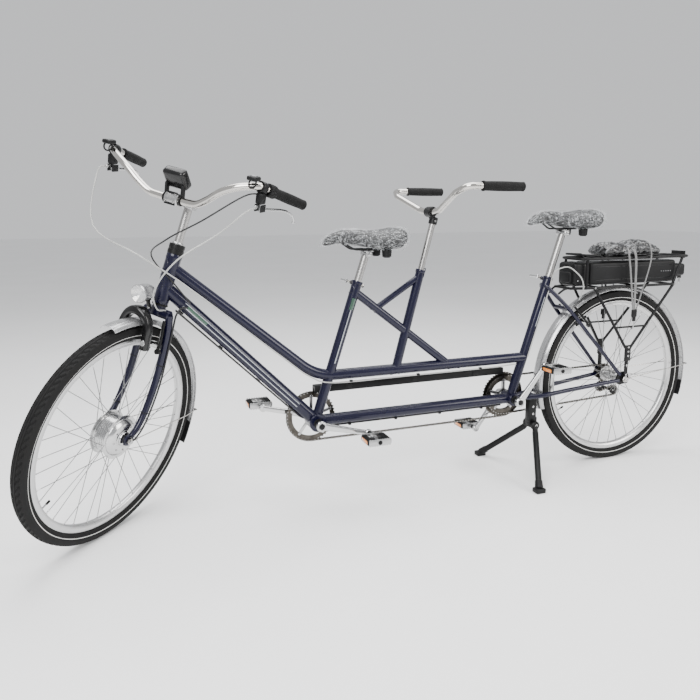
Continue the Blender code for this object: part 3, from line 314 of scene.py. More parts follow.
PAINT = paint_finish()
CHROME = finish("bright_chrome", (0.56, 0.54, 0.51), 0.12, 1.0, vary=0.03, depth=0.00001, spread=0.05)
ALLOY = finish("satin_alloy", (0.44, 0.44, 0.44), 0.3, 1.0, vary=0.06, fine=1600.0, depth=0.00003)
POLISHED = finish("polished_alloy", (0.54, 0.54, 0.54), 0.18, 1.0, vary=0.05, depth=0.00002)
RIM_METAL = brushed_finish("brushed_rim", (0.6, 0.6, 0.6), 0.3, (1.0, 12.0, 1.0))
POST_METAL = brushed_finish("brushed_post", (0.42, 0.41, 0.4), 0.28, (9.0, 9.0, 1.0))
MUDGUARD = finish("mudguard_silver", (0.38, 0.38, 0.385), 0.24, 0.75, coat=0.6, vary=0.06, depth=0.00002)
BLACK_PLASTIC = finish(
    "moulded_black", (0.004, 0.004, 0.0044), 0.46, vary=0.25, fine=1300.0, depth=0.0001, specular=0.2
)
GLOSS_BLACK = finish(
    "gloss_black", (0.0035, 0.0035, 0.0038), 0.2, coat=0.15, vary=0.2, depth=0.00002, specular=0.3
)
BLACK_METAL = finish(
    "black_powder_coat", (0.004, 0.004, 0.0044), 0.4, vary=0.2, fine=700.0, depth=0.0001, specular=0.2
)
RUBBER = finish("grip_rubber", (0.0045, 0.0045, 0.0046), 0.7, vary=0.25, fine=1100.0, depth=0.00016,
                specular=0.2)
GREY_PLASTIC = finish("grey_plastic", (0.22, 0.22, 0.23), 0.42, vary=0.1, depth=0.00006)
CABLE_BLACK = finish("cable_black", (0.008, 0.008, 0.0085), 0.42, vary=0.2, depth=0.00004, specular=0.35)
CABLE_SILVER = finish("cable_silver", (0.36, 0.36, 0.35), 0.38, 0.2, vary=0.08, depth=0.00004)
CHAIN_STEEL = finish("oiled_chain", (0.075, 0.068, 0.06), 0.34, 1.0, vary=0.35, cloud=60.0, depth=0.00004)
SPOKE = finish("spoke_steel", (0.16, 0.16, 0.16), 0.34, 0.8, vary=0.08, depth=0.00002)
STEEL = finish("bright_steel", (0.42, 0.42, 0.42), 0.22, 1.0, vary=0.08, depth=0.00002)
SCREEN = finish("dark_screen", (0.02, 0.026, 0.024), 0.1, coat=1.0, vary=0.1, depth=0.000005)
WHITE_STRIPE = finish("reflective_stripe", (0.7, 0.7, 0.68), 0.45, vary=0.1, fine=1800.0, depth=0.00008)
SILVER_LINE = finish("decal_silver", (0.36, 0.38, 0.4), 0.28, 0.5, coat=0.8, vary=0.1, depth=0.00002)
TYRE = tyre_finish()
VINYL = vinyl_finish()
# the pale tint at 0.66 alpha is the film's painted crease highlight; at 0.03 it is the film itself
FILM = film_finish("clear_film", (0.66, 0.68, 0.7), 0.03, 0.66)
WRAP = wrap_finish()
ELASTIC = weave_finish("grey_elastic", (0.17, 0.17, 0.17))
AMBER = lens_finish("amber_reflector", (0.85, 0.26, 0.02))
RED = lens_finish("red_reflector", (0.6, 0.015, 0.012))
GLASS = glass_finish()


# ---- places and directions -----------------------------------------------------------------
def sideways(y):
    return Vector((0, y, 0))


def upward(z):
    return Vector((0, 0, z))


def outward(angle):
    """The direction at an angle in an XZ plane, from +X towards +Z."""
    return Vector((math.cos(angle), 0, math.sin(angle)))


def squared(value, power):
    """The sine or cosine of a superellipse: a power below 1 squares its corners."""
    return math.copysign(abs(value) ** power, value)


def perpendicular(direction):
    """Two unit vectors square to a direction."""
    seed = Vector((0, 0, 1)) if abs(direction.z) < 0.9 else Vector((1, 0, 0))
    side = direction.cross(seed).normalized()
    return side, direction.cross(side).normalized()


def aim(direction):
    return Vector(direction).to_track_quat("Z", "Y").to_matrix().to_4x4()


def rounded(points, radius, steps=8):
    """The route through corner points, each inner corner replaced by an arc."""
    points = [Vector(p) for p in points]
    route = [points[0]]
    for before, corner, after in zip(points, points[1:], points[2:]):
        inward, outward = before - corner, after - corner
        half = inward.angle(outward) / 2
        reach = min(radius / math.tan(half), 0.45 * inward.length, 0.45 * outward.length)
        first, last = corner + inward.normalized() * reach, corner + outward.normalized() * reach
        for k in range(steps + 1):
            t = k / steps
            route.append(first * (1 - t) ** 2 + corner * 2 * t * (1 - t) + last * t**2)
    return route + [points[-1]]


def smooth(points, steps):
    """A Catmull-Rom curve through the points."""
    points = [Vector(p) for p in points]
    padded = [points[0] * 2 - points[1], *points, points[-1] * 2 - points[-2]]
    route = []
    for a, b, c, d in zip(padded, padded[1:], padded[2:], padded[3:]):
        for k in range(steps):
            t = k / steps
            curve = (a * 2 - b * 5 + c * 4 - d) * t**2 + (b * 3 - a - c * 3 + d) * t**3
            route.append((b * 2 + (c - a) * t + curve) / 2)
    return route + [points[-1]]


def mirrored(point, side):
    return Vector((point[0], side * point[1], point[2]))


def circle_point(centre, radius, angle):
    """A point on a circle in an XZ plane, angle from +X towards +Z."""
    return Vector((centre.x + radius * math.cos(angle), centre.y, centre.z + radius * math.sin(angle)))


class Piece:
    """One visible piece: shapes are added to one mesh, each with its own material. It rides on a body."""

    def __init__(self, name, body, slot):
        self.name, self.body, self.slot = name, body, slot
        self.bm = bmesh.new()
        self.materials = []

    def index(self, material):
        if material not in self.materials:
            self.materials.append(material)
        return self.materials.index(material)

    def rings(self, rings, material, closed=False, caps=True, seam=True):
        """A skin through rings of points with the same count; seam joins a ring's last point to its first."""
        where = self.index(material)
        made = [[self.bm.verts.new(p) for p in ring] for ring in rings]
        count = len(made[0])
        pairs = list(zip(made, made[1:])) + ([(made[-1], made[0])] if closed else [])
        for near, far in pairs:
            for i in range(count if seam else count - 1):
                j = (i + 1) % count
                self.bm.faces.new((near[i], near[j], far[j], far[i])).material_index = where
        if caps and not closed and seam:
            for ring in (made[0], made[-1]):
                self.bm.faces.new(ring).material_index = where
        return made

    def sweep(self, path, radius, material, sides, closed=False, up=None, flat=1.0):
        """A tube along a path. radius is a number or a function of 0..1, and flat squeezes it along up."""
        path = [Vector(p) for p in path]
        count = len(path)
        rings = []
        side = None
        for i, point in enumerate(path):
            ahead = path[(i + 1) % count] if closed or i + 1 < count else point
            behind = path[i - 1] if closed or i > 0 else point
            heading = (ahead - behind).normalized()
            if up is not None:
                side = heading.cross(Vector(up)).normalized()
            elif side is None:
                side = perpendicular(heading)[0]
            else:
                side = (side - heading * side.dot(heading)).normalized()
            other = heading.cross(side)
            r = radius(i / (count - 1)) if callable(radius) else radius
            rings.append(
                [
                    point
                    + side * r * math.cos(FULL_TURN * k / sides)
                    + other * r * flat * math.sin(FULL_TURN * k / sides)
                    for k in range(sides)
                ]
            )
        self.rings(rings, material, closed)

    def turn(self, profile, centre, basis, material, steps, loop, warp, start=0.0, end=FULL_TURN):
        """Turns (radius, height) points about an axis.

        basis is the axis, the direction of angle 0 and the direction a quarter turn on. loop closes the profile,
        and warp(radius, height, angle) may move a point.
        """
        axis, side, other = basis
        whole = end - start > FULL_TURN - 1e-6
        rings = []
        for k in range(steps if whole else steps + 1):
            angle = start + (end - start) * k / steps
            around = side * math.cos(angle) + other * math.sin(angle)
            ring = []
            for r, h in profile:
                if warp:
                    r, h = warp(r, h, angle)
                ring.append(Vector(centre) + axis * h + around * r)
            rings.append(ring)
        self.rings(rings, material, closed=whole, caps=loop, seam=loop)

    def lathe(self, profile, centre, axis, material, steps, loop=False, warp=None):
        """A profile turned about any axis through centre."""
        axis = Vector(axis).normalized()
        self.turn(profile, centre, (axis, *perpendicular(axis)), material, steps, loop, warp)

    def turned(self, profile, centre, material, steps, start=0.0, end=FULL_TURN, loop=False, warp=None):
        """A (radius, y) profile turned about the Y axis, angles running from +X towards +Z."""
        basis = (Vector((0, 1, 0)), Vector((1, 0, 0)), Vector((0, 0, 1)))
        self.turn(profile, centre, basis, material, steps, loop, warp, start, end)

    def rod(self, start, end, radius, material, sides=20, end_radius=None, chamfer=0.0006):
        """A round bar with slightly broken edges."""
        start, end = Vector(start), Vector(end)
        far = radius if end_radius is None else end_radius
        length = (end - start).length
        c = min(chamfer, radius * 0.4, length * 0.3)
        profile = [(0, 0), (radius - c, 0), (radius, c), (far, length - c), (far - c, length), (0, length)]
        self.lathe(profile, start, end - start, material, sides)

    def cross_bar(self, centre, half, radius, material, sides=20, chamfer=0.0006):
        """A round bar that lies across the bicycle, half to each side of centre."""
        reach = sideways(half)
        self.rod(Vector(centre) - reach, Vector(centre) + reach, radius, material, sides, chamfer=chamfer)

    def tapered(self, start, end, sections, material, sides):
        """A beam in an XZ plane; sections are (share of the way, half height, half width)."""
        heading = (end - start).normalized()
        across = Vector((heading.z, 0, -heading.x))
        rings = []
        for t, tall, wide in sections:
            at = start.lerp(end, t)
            angles = [FULL_TURN * k / sides for k in range(sides)]
            rings.append([at + across * tall * math.cos(a) + sideways(wide * math.sin(a)) for a in angles])
        self.rings(rings, material)

    def box(self, centre, size, material, turn=None, bevel=0.002, segments=2):
        """A block with rounded edges."""
        turn = turn or Matrix.Identity(4)
        where = self.index(material)
        place = Matrix.Translation(Vector(centre)) @ turn @ Matrix.Diagonal((*size, 1.0))
        made = bmesh.ops.create_cube(self.bm, size=1.0, matrix=place)
        faces = {f for v in made["verts"] for f in v.link_faces}
        for face in faces:
            face.material_index = where
        if bevel:
            edges = list(dict.fromkeys(e for v in made["verts"] for e in v.link_edges))
            width = min(bevel, min(size) * 0.45)
            done = bmesh.ops.bevel(self.bm, geom=edges, offset=width, segments=segments, affect="EDGES",
                                   profile=0.5)
            for face in done["faces"]:
                face.material_index = where

    def torus(self, centre, axis, radius, thickness, material, steps, sides):
        profile = [
            (
                radius + thickness * math.cos(FULL_TURN * k / sides),
                thickness * math.sin(FULL_TURN * k / sides),
            )
            for k in range(sides)
        ]
        self.lathe(profile, centre, axis, material, steps, loop=True)

    def bolt(self, centre, direction, radius, material, height=0.004):
        """A socket-head bolt standing out of a surface."""
        r, h = radius, height
        profile = [(0, h * 0.4), (r * 0.48, h * 0.4), (r * 0.5, h), (r * 0.88, h), (r, h * 0.8),
                   (r, -h * 0.3)]
        self.lathe(profile, centre, direction, material, 14)

    def nut(self, centre, direction, radius, height, material):
        """A hexagonal nut with chamfered corners."""
        profile = [(0, height), (radius * 0.86, height), (radius, height * 0.82), (radius, 0), (0, 0)]
        self.lathe(profile, centre, direction, material, 6)

    def prism(self, outline, y, half, material):
        """A flat plate in an XZ plane, from an outline of (x, z) points."""
        rings = [[Vector((x, y + s * half, z)) for x, z in outline] for s in (-1, 1)]
        self.rings(rings, material)

    def gear(self, centre, teeth, inner, thickness, material):
        """A toothed ring about the Y axis through centre."""
        pitch_r = PITCH * teeth / (FULL_TURN)
        outer, inside = [], []
        for k in range(teeth * 6):
            angle = FULL_TURN * k / (teeth * 6)
            lift = (-0.9, -0.55, 0.5, 0.95, 0.5, -0.55)[k % 6]
            outer.append((pitch_r - 0.0006 + GEAR_TOOTH * lift * 0.62, angle))
            inside.append((inner, angle))
        rings = []
        for ring, s in ((inside, -1), (outer, -0.7), (outer, 0.7), (inside, 1)):
            rings.append([circle_point(centre + sideways(s * thickness), r, a) for r, a in ring])
        self.rings(rings, material, closed=True)

    def done(self, replaces=(), steer=False, angle=38.0):
        """Makes the object, turns it with the fork if it steers, and lets it ride on its body."""
        bmesh.ops.remove_doubles(self.bm, verts=self.bm.verts, dist=2e-6)
        bmesh.ops.dissolve_degenerate(self.bm, dist=1e-6, edges=self.bm.edges)
        bmesh.ops.recalc_face_normals(self.bm, faces=self.bm.faces)
        mesh = bpy.data.meshes.new(self.name)
        if steer:
            self.bm.transform(STEER)
        self.bm.transform(Matrix.Translation(SHIFT))
        self.bm.to_mesh(mesh)
        self.bm.free()
        for material in self.materials:
            mesh.materials.append(material)
        mesh.shade_smooth()
        mesh.set_sharp_from_angle(angle=math.radians(angle))
        made = bpy.data.objects.new(self.name, mesh)
        bpy.context.scene.collection.objects.link(made)
        if self.body:
            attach(made, self.body)
        if replaces:
            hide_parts(*replaces)
        return made


def weld_bead(piece, start, end, radius, wall_start, wall_end, wall_radius):
    """A raised bead where a tube that ends inside another one meets its wall."""
    start, end = Vector(start), Vector(end)
    wall_start, wall_end = Vector(wall_start), Vector(wall_end)
    heading = (end - start).normalized()
    wall = (wall_end - wall_start).normalized()
    side, other = perpendicular(heading)
    path = []
    for k in range(36):
        angle = FULL_TURN * k / 36
        base = start + (side * math.cos(angle) + other * math.sin(angle)) * radius - wall_start
        across = heading - wall * heading.dot(wall)
        offset = base - wall * base.dot(wall)
        a, b, c = across.dot(across), 2 * across.dot(offset), offset.dot(offset) - wall_radius**2
        root = b * b - 4 * a * c
        if root <= 0:
            return
        path.append(wall_start + base + heading * (-b + math.sqrt(root)) / (2 * a))
    piece.sweep(path, BEAD_R, PAINT, sides=8, closed=True)


def stripe(piece, start, end, radius, facing, half_angle, material):
    """A thin line of film on the side of a straight tube, facing a direction."""
    start, end = Vector(start), Vector(end)
    heading = (end - start).normalized()
    out = (Vector(facing) - heading * heading.dot(Vector(facing))).normalized()
    side = heading.cross(out)
    rings = []
    for at in (start, end):
        rings.append(
            [
                at + (out * math.cos(a) + side * math.sin(a)) * (radius + 0.0003)
                for a in [half_angle * (k / 4 - 1) for k in range(9)]
            ]
        )
    piece.rings(rings, material, caps=False, seam=False)


def route_length(path):
    return sum((b - a).length for a, b in zip(path, path[1:]))


# ---- camera, light and stage ---------------------------------------------------------------
def camera():
    """The photographer stood to the left front, a little above the top tube, and looked down slightly."""
    yaw, pitch, roll = 0.3561, -0.1608, -0.0043
    forward = Vector((math.sin(yaw) * math.cos(pitch), math.cos(yaw) * math.cos(pitch), math.sin(pitch)))
    right = Vector((math.cos(yaw), -math.sin(yaw), 0))
    up = right.cross(forward)
    level = right * math.cos(roll) + up * math.sin(roll)
    raised = up * math.cos(roll) - right * math.sin(roll)
    data = bpy.data.cameras.new("camera")
    data.lens, data.sensor_width, data.shift_y = 33.53, 36.0, -0.0427
    made = bpy.data.objects.new("camera", data)
    turn = Matrix((level, raised, -forward)).transposed().to_4x4()
    made.matrix_world = Matrix.Translation(Vector((0.0233, -2.1021, 1.0206)) + SHIFT) @ turn
    bpy.context.scene.collection.objects.link(made)
    bpy.context.scene.camera = made


def area_light(name, place, target, size, power, colour=(1, 1, 1)):
    data = bpy.data.lights.new(name, "AREA")
    data.shape, data.size, data.energy, data.color = "SQUARE", size, power, colour
    made = bpy.data.objects.new(name, data)
    made.matrix_world = Matrix.Translation(Vector(place)) @ aim(Vector(place) - Vector(target))
    bpy.context.scene.collection.objects.link(made)


def studio():
    """A wide pale floor under a pale sky, lit by wide soft lights."""
    world = bpy.data.worlds.new("studio")
    world.use_nodes = True
    world.node_tree.nodes["Background"].inputs["Color"].default_value = (0.93, 0.94, 0.96, 1)
    world.node_tree.nodes["Background"].inputs["Strength"].default_value = 0.8
    bpy.context.scene.world = world
    p = Piece("studio_floor", None, None)
    pale = finish("studio_paint", (0.9, 0.9, 0.9), 0.6, vary=0.02, cloud=0.8, fine=60.0, depth=0.0002)
    corners = [[Vector((x, y, 0)) for y in (-30, 30)] for x in (-30, 30)]
    p.rings(corners, pale, caps=False, seam=False)
    p.done(angle=60)
    area_light("key", (-2.6, -3.2, 3.4), (0, 0, 0.5), 3.0, 300)
    area_light("fill", (3.0, -2.6, 2.4), (0.2, 0, 0.5), 2.2, 120, (1.0, 0.98, 0.95))
    area_light("top", (0.0, 0.4, 3.6), (0, 0, 0.4), 3.4, 200)


# ---- cables --------------------------------------------------------------------------------
LEVER_STATION = GRIP_START - GRIP_AXIS * 0.052
RIGHT_CLAMP = LEVER_STATION + Vector((-0.0235, 0.004, -0.055))
LEFT_CLAMP = mirrored(LEVER_STATION, -1) + Vector((-0.0235, -0.004, -0.055))


def cable(name, path, diameter, body, material, slot, between=None, replaces=()):
    """A housing between two fittings. When between is given, the housing rides on no body; the bodies and points
    in between are not used.
    """
    p = Piece(name, None if between else body, slot)
    p.sweep(path, diameter / 2, material, sides=10)
    made = p.done()
    if between:
        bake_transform(made)
    if replaces:
        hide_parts(*replaces)
    return made


def cables():
    """Brake, gear, motor and display leads."""
    lead = steered(RIGHT_CLAMP + Vector((-0.045, -0.004, -0.012)))
    loop = [steered(RIGHT_CLAMP), lead, (-0.01, 0.06, 0.99), (0.11, -0.045, 0.905),
            (0.215, -0.038, 0.83)]
    front = smooth([*loop, (0.3, -0.0235, 0.762)], 5)
    below = [(0.42, -0.0235, 0.662), (0.56, -0.0235, 0.545), (0.65, -0.0235, 0.474),
             (0.74, -0.0235, 0.4445)]
    along = [(1.000, -0.0235, 0.444), (1.35, -0.0235, 0.444), (1.48, -0.0215, 0.4475)]
    route = front + smooth(below + along, 4)
    crossing = ("fork", "frame", steered(RIGHT_CLAMP), (0.205, -0.039, 0.84))
    cable("rear_brake_housing", route, 0.0048, None, CABLE_SILVER, "cable_grey", crossing,
          ["rear_brake_cable"])

    left = steered(LEFT_CLAMP)
    brake_top = steered((0.15, -0.04, 0.742))
    front_brake = smooth(
        [
            left,
            steered(LEFT_CLAMP + Vector((-0.05, 0.004, -0.01))),
            steered((0.12, -0.225, 1.035)),
            steered((0.045, -0.15, 0.95)),
            steered((0.04, -0.085, 0.845)),
            steered((0.085, -0.06, 0.77)),
            brake_top,
        ],
        8,
    )
    cable("front_brake_housing", front_brake, 0.0048, "fork", CABLE_SILVER, "cable_grey")

    gear_start = mirrored(GRIP_START, -1) - mirrored(GRIP_AXIS, -1) * 0.03 + Vector((-0.02, 0.004,
        -0.012))
    gear = smooth(
        [
            steered(gear_start),
            steered(gear_start + Vector((-0.06, 0.02, -0.006))),
            steered((0.115, -0.17, 1.06)),
            steered((0.085, -0.075, 0.985)),
            (0.15, -0.04, 0.9),
            (0.215, -0.034, 0.81),
            (0.262, -0.0255, 0.745),
        ],
        6,
    )
    crossing = ("fork", "frame", steered(gear_start), (0.215, -0.034, 0.81))
    cable("gear_housing", gear, 0.0046, None, CABLE_BLACK, "cable_grey", crossing)

    motor = smooth(
        [
            steered((0.01, -0.064, 0.352)),
            steered((0.018, -0.0725, 0.362)),
            steered((0.05, -0.073, 0.392)),
            steered((0.086, -0.07, 0.445)),
            steered((0.12, -0.068, 0.52)),
            steered((0.142, -0.066, 0.6)),
            steered((0.164, -0.064, 0.69)),
            (0.215, -0.036, 0.712),
            (0.231, -0.0315, 0.732),
            (0.252, -0.0225, 0.733),
        ],
        6,
    )
    crossing = ("fork", "frame", steered((0.142, -0.066, 0.6)), (0.231, -0.0315, 0.732))
    cable("motor_lead", motor, 0.0062, None, CABLE_BLACK, "black_plastic", crossing)

    up = (REAR_SEAT_TOP - REAR_BB).normalized()
    tube_side = [REAR_BB + up * d + Vector((0.006, -0.02, -0.002)) for d in (0.175, 0.28, 0.38, 0.455)]
    over = [(1.6345, -0.025, 0.793), (1.66, -0.034, 0.8125), (1.688, -0.048, 0.816)]
    over += [(1.712, -0.062, 0.796), (1.731, -0.069, 0.773), (1.741, -0.0705, 0.742)]
    over += [(1.738, -0.067, 0.712), (1.735, -0.056, 0.69)]
    rear_arc = smooth([*tube_side, *over], 8)
    cable("rear_brake_arc", rear_arc, 0.005, "frame", CABLE_SILVER, "cable_grey")

    p = Piece("clipped_leads", "frame", "black_plastic")
    down = (FRONT_BB - HEAD_JOINT).normalized()
    under = Vector((-down.z, 0, down.x)) * -1
    if under.z > 0:
        under = -under
    for offset, material, radius in ((-0.006, CABLE_BLACK, 0.0024), (0.0, CABLE_BLACK, 0.0031),
                                     (0.007, CABLE_SILVER, 0.0023)):
        side = sideways(offset)
        drop = under * (0.022 + radius * 0.9)
        low = upward(-0.02 - radius * 0.9)
        path = rounded(
            [
                Vector((0.235, 0, 0.741)) + drop + side,
                FRONT_BB - down * 0.05 + drop + side,
                FRONT_BB + Vector((0.07, 0, 0)) + low + side,
                REAR_BB + Vector((-0.045, 0, 0)) + low + side,
            ],
            0.06,
        )
        p.sweep(path, radius, material, sides=8)
    for t in (0.12, 0.37, 0.62, 0.87):
        centre = HEAD_JOINT.lerp(FRONT_BB, t)
        p.box(centre + under * 0.0255, (0.01, 0.016, 0.006), BLACK_PLASTIC, aim(under))
    for x in (0.8, 0.98, 1.16, 1.34):
        p.box((x, 0, 0.2835), (0.01, 0.022, 0.007), BLACK_PLASTIC)
    for x in (0.8, 1.06, 1.32):
        p.box((x, -0.0235, 0.4455), (0.012, 0.01, 0.007), BLACK_PLASTIC)
    p.done()


# ---- frame ---------------------------------------------------------------------------------
UP_FRONT = (FRONT_SEAT_TOP - FRONT_BB).normalized()
UP_REAR = (REAR_SEAT_TOP - REAR_BB).normalized()
UP_MAST = (MAST_TOP - MAST_FOOT).normalized()


def frame_tubes():
    """The welded frame with its lugs, beads, bosses, dropouts and plain side stripes."""
    p = Piece("frame_tubes", "frame", "blue_paint")
    top_route = rounded([(0.205, 0, 0.865), (0.68, 0, TUBE_Z), (1.527, 0, TUBE_Z)], 0.2, 16)
    p.sweep(top_route, 0.019, PAINT, 32)
    p.sweep([HEAD_JOINT, FRONT_BB], 0.022, PAINT, 36)
    p.sweep([FRONT_BB, REAR_BB], 0.02, PAINT, 32)
    p.sweep([(0.822, 0, 0.756), (1.195, 0, TUBE_Z)], 0.015, PAINT, 28)
    p.sweep([(0.905, 0, 0.694), (1.065, 0, 0.796)], 0.011, PAINT, 24)
    for foot, top, up, radius, bore in (
        (FRONT_BB, FRONT_SEAT_TOP, UP_FRONT, 0.0175, 0.0142),
        (REAR_BB, REAR_SEAT_TOP, UP_REAR, 0.0175, 0.0142),
        (MAST_FOOT, MAST_TOP, UP_MAST, 0.016, 0.0117),
    ):
        length = (top - foot).length
        profile = [(0, 0), (radius, 0), (radius, length - 0.0006), (radius - 0.0006, length),
                   (bore, length)]
        p.lathe(profile + [(bore, length - 0.17), (0, length - 0.17)], foot, up, PAINT, 36)
    bottom, top = on_axis(0.4157), on_axis(0.5757)
    reach = (top - bottom).length
    cup, neck = 0.0245, 0.0238
    head = [(0.016, 0.0), (cup - 0.0006, 0.0), (cup, 0.0008), (cup, 0.012), (neck, 0.015)]
    head += [(neck, reach - 0.015), (cup, reach - 0.012), (cup, reach - 0.0008), (cup - 0.0006, reach),
             (0.016, reach)]
    p.lathe(head, bottom, STEER_AXIS, PAINT, 48)
    for centre, half, radius in ((FRONT_BB, 0.034, 0.031), (REAR_BB, 0.034, 0.0235)):
        shell = [(0.013, -half), (radius - 0.001, -half), (radius, -half + 0.001), (radius, half - 0.001)]
        p.turned([*shell, (radius - 0.001, half), (0.013, half)], centre, PAINT, 56)
        for s in (-1, 1):
            ring = [(0.01, s * half), (0.0165, s * half), (0.0165, s * (half + 0.0012)),
                    (0.01, s * (half + 0.0012))]
            p.turned(ring, centre, BLACK_METAL, 40)
    for x, z, half, radius in ((1.568, 0.312, 0.026, 0.009), (1.699, 0.653, 0.046, 0.008)):
        p.cross_bar((x, 0, z), half, radius, PAINT)
    stays(p)
    seat_lugs(p)
    welds(p)
    stripes(p)
    rear_axle(p)
    p.done(["main_frame"])


def stays(p):
    chain = [(1.488, 0.018, 0.306), (1.545, 0.0275, 0.31), (1.605, 0.043, 0.316), (1.72, 0.05, 0.328),
             (1.945, 0.0655, 0.349)]
    seat = [(1.612, 0.016, 0.742), (1.695, 0.045, 0.656), (1.8, 0.054, 0.54), (1.95, 0.0655, 0.372)]
    plate = [(1.928, 0.345), (1.946, 0.332), (1.99, 0.336), (1.992, 0.372), (1.968, 0.386), (1.94, 0.376)]
    outline = [(q.x, q.z) for q in rounded([(x, 0, z) for x, z in plate + plate[:2]], 0.006, 5)[1:-1]]
    for side in (-1, 1):
        p.sweep(smooth([mirrored(q, side) for q in chain], 10), lambda t: 0.0105 - 0.0025 * t, PAINT, 24)
        p.sweep(smooth([mirrored(q, side) for q in seat], 10), lambda t: 0.008 - 0.001 * t, PAINT, 20)
        p.prism(outline, side * 0.0655, 0.0034, BLACK_METAL)
        p.sweep([(1.608, side * 0.01, 0.748), (1.614, side * 0.018, 0.74)], 0.0095, PAINT, 20)


def seat_lugs(p):
    """Clamp ears behind each seat tube's top, with the through bolt and its nut."""
    for top, up in ((FRONT_SEAT_TOP, UP_FRONT), (REAR_SEAT_TOP, UP_REAR)):
        forward = Vector((up.z, 0, -up.x))
        bolt = top - up * 0.01 + sideways(0.0195)
        p.rod(bolt - forward * 0.03, bolt + forward * 0.034, 0.004, CHROME)
        p.rod(bolt - forward * 0.017, bolt + forward * 0.017, 0.0075, PAINT, 24)
        p.nut(bolt + forward * 0.028, forward, 0.0072, 0.0065, CHROME)
        p.lathe([(0.0186, -0.01), (0.019, -0.009), (0.019, -0.001), (0.0186, 0.0)], top, up, PAINT, 40)
    p.lathe([(0.0171, -0.012), (0.0178, -0.011), (0.0178, -0.001), (0.0171, 0.0)], MAST_TOP, UP_MAST, PAINT,
            40)
    for h in (-0.0085, -0.0035):
        p.bolt(MAST_TOP + UP_MAST * h + sideways(0.0175), (0, 1, 0), 0.0026, STEEL, 0.002)


def welds(p):
    """Fillet beads at the joints."""
    level = Vector((1.0, 0, TUBE_Z))
    weld_bead(p, MAST_TOP, MAST_FOOT, 0.016, level, level + Vector((1, 0, 0)), 0.019)
    weld_bead(p, (0.822, 0, 0.756), (1.195, 0, TUBE_Z), 0.015, level, level + Vector((1, 0, 0)), 0.019)
    weld_bead(p, (1.1, 0, 0.54), (0.822, 0, 0.756), 0.015, FRONT_BB, FRONT_SEAT_TOP, 0.0175)
    weld_bead(p, (1.065, 0, 0.796), (0.905, 0, 0.694), 0.011, (0.822, 0, 0.756), (1.195, 0, TUBE_Z), 0.015)
    weld_bead(p, (0.905, 0, 0.694), (1.065, 0, 0.796), 0.011, MAST_FOOT, MAST_TOP, 0.016)
    weld_bead(p, (1.00, 0, TUBE_Z), (1.527, 0, TUBE_Z), 0.019, REAR_BB, REAR_SEAT_TOP, 0.0175)
    weld_bead(p, FRONT_BB, HEAD_JOINT, 0.022, on_axis(0.42), on_axis(0.57), 0.0238)
    weld_bead(p, (0.45, 0, 0.66), (0.205, 0, 0.865), 0.019, on_axis(0.42), on_axis(0.57), 0.0238)


def stripes(p):
    """Plain silver and green stripes on both sides of the down tube and the two seat tubes."""
    down, front, rear = (HEAD_JOINT, FRONT_BB), (FRONT_BB, FRONT_SEAT_TOP), (REAR_BB, REAR_SEAT_TOP)
    green = finish("decal_green", (0.022, 0.062, 0.04), 0.3, 0.2, coat=0.8, vary=0.1, depth=0.00002)
    for side in (-1, 1):
        for tube, first, last, radius, rise, half, material in (
            (down, 0.1, 0.86, 0.022, 0.42, 0.06, SILVER_LINE),
            (down, 0.1, 0.86, 0.022, -0.42, 0.06, SILVER_LINE),
            (down, 0.12, 0.24, 0.022, 0.02, 0.22, green),
            (front, 0.42, 0.88, 0.0175, 0.0, 0.1, SILVER_LINE),
            (front, 0.8, 0.88, 0.0177, 0.0, 0.4, green),
            (rear, 0.6, 0.84, 0.0175, 0.0, 0.1, SILVER_LINE),
        ):
            start, end = (tube[0].lerp(tube[1], t) for t in (first, last))
            stripe(p, start, end, radius, Vector((0, side, rise)), half, material)


def rear_axle(p):
    p.cross_bar(REAR_HUB, 0.094, 0.0049, STEEL)
    for side in (-1, 1):
        p.nut(REAR_HUB + sideways(side * 0.0795), (0, side, 0), 0.0098, 0.0098, CHROME)
        p.lathe([(0.005, 0), (0.0125, 0), (0.0125, 0.0014), (0.005, 0.0014)],
                REAR_HUB + sideways(side * 0.0782), (0, side, 0), STEEL, 30)


# ---- wheels --------------------------------------------------------------------------------
def tyre(name, hub, body, node, steer):
    """A treaded tyre with a white reflective stripe on each wall."""
    p = Piece(name, body, "tyre_rubber")
    blocks, per_block = 96, 6
    outline = [(0.313, 0.0115), (0.3175, 0.0165), (0.324, 0.0198), (0.331, 0.0218)]
    outline += [(0.3332, 0.0221), (0.3362, 0.0223), (0.339, 0.022), (0.342, 0.0211)]
    tread = [(0.355 - 13.0 * y * y, y) for y in [0.019 - 0.0019 * k for k in range(21)]]
    profile = outline + tread + [(r, -y) for r, y in reversed(outline)]

    def grooves(r, y, angle):
        if abs(y) > 0.0186 or r < 0.345:
            return r, y
        phase = (angle / (FULL_TURN) * blocks + abs(y) * 62) % 1
        centre = abs(y) < 0.0022
        deep = 0.0 if centre or phase < 0.6 else 0.0034
        edge = 0.0022 if 0.0046 > abs(y) > 0.0026 else 0.0
        return r - max(deep, edge), y

    p.turned(profile, hub, TYRE, blocks * per_block, warp=grooves)
    for side in (-1, 1):
        band = [(0.3264, side * 0.0207), (0.3272, side * 0.02105), (0.3281, side * 0.0212)]
        p.turned(band, hub, WHITE_STRIPE, 180)
        ribs = [(0.32, side * 0.0184), (0.3208, side * 0.0191), (0.3216, side * 0.0192)]
        p.turned(ribs, hub, TYRE, 180)
    p.done([node], steer=steer, angle=30)


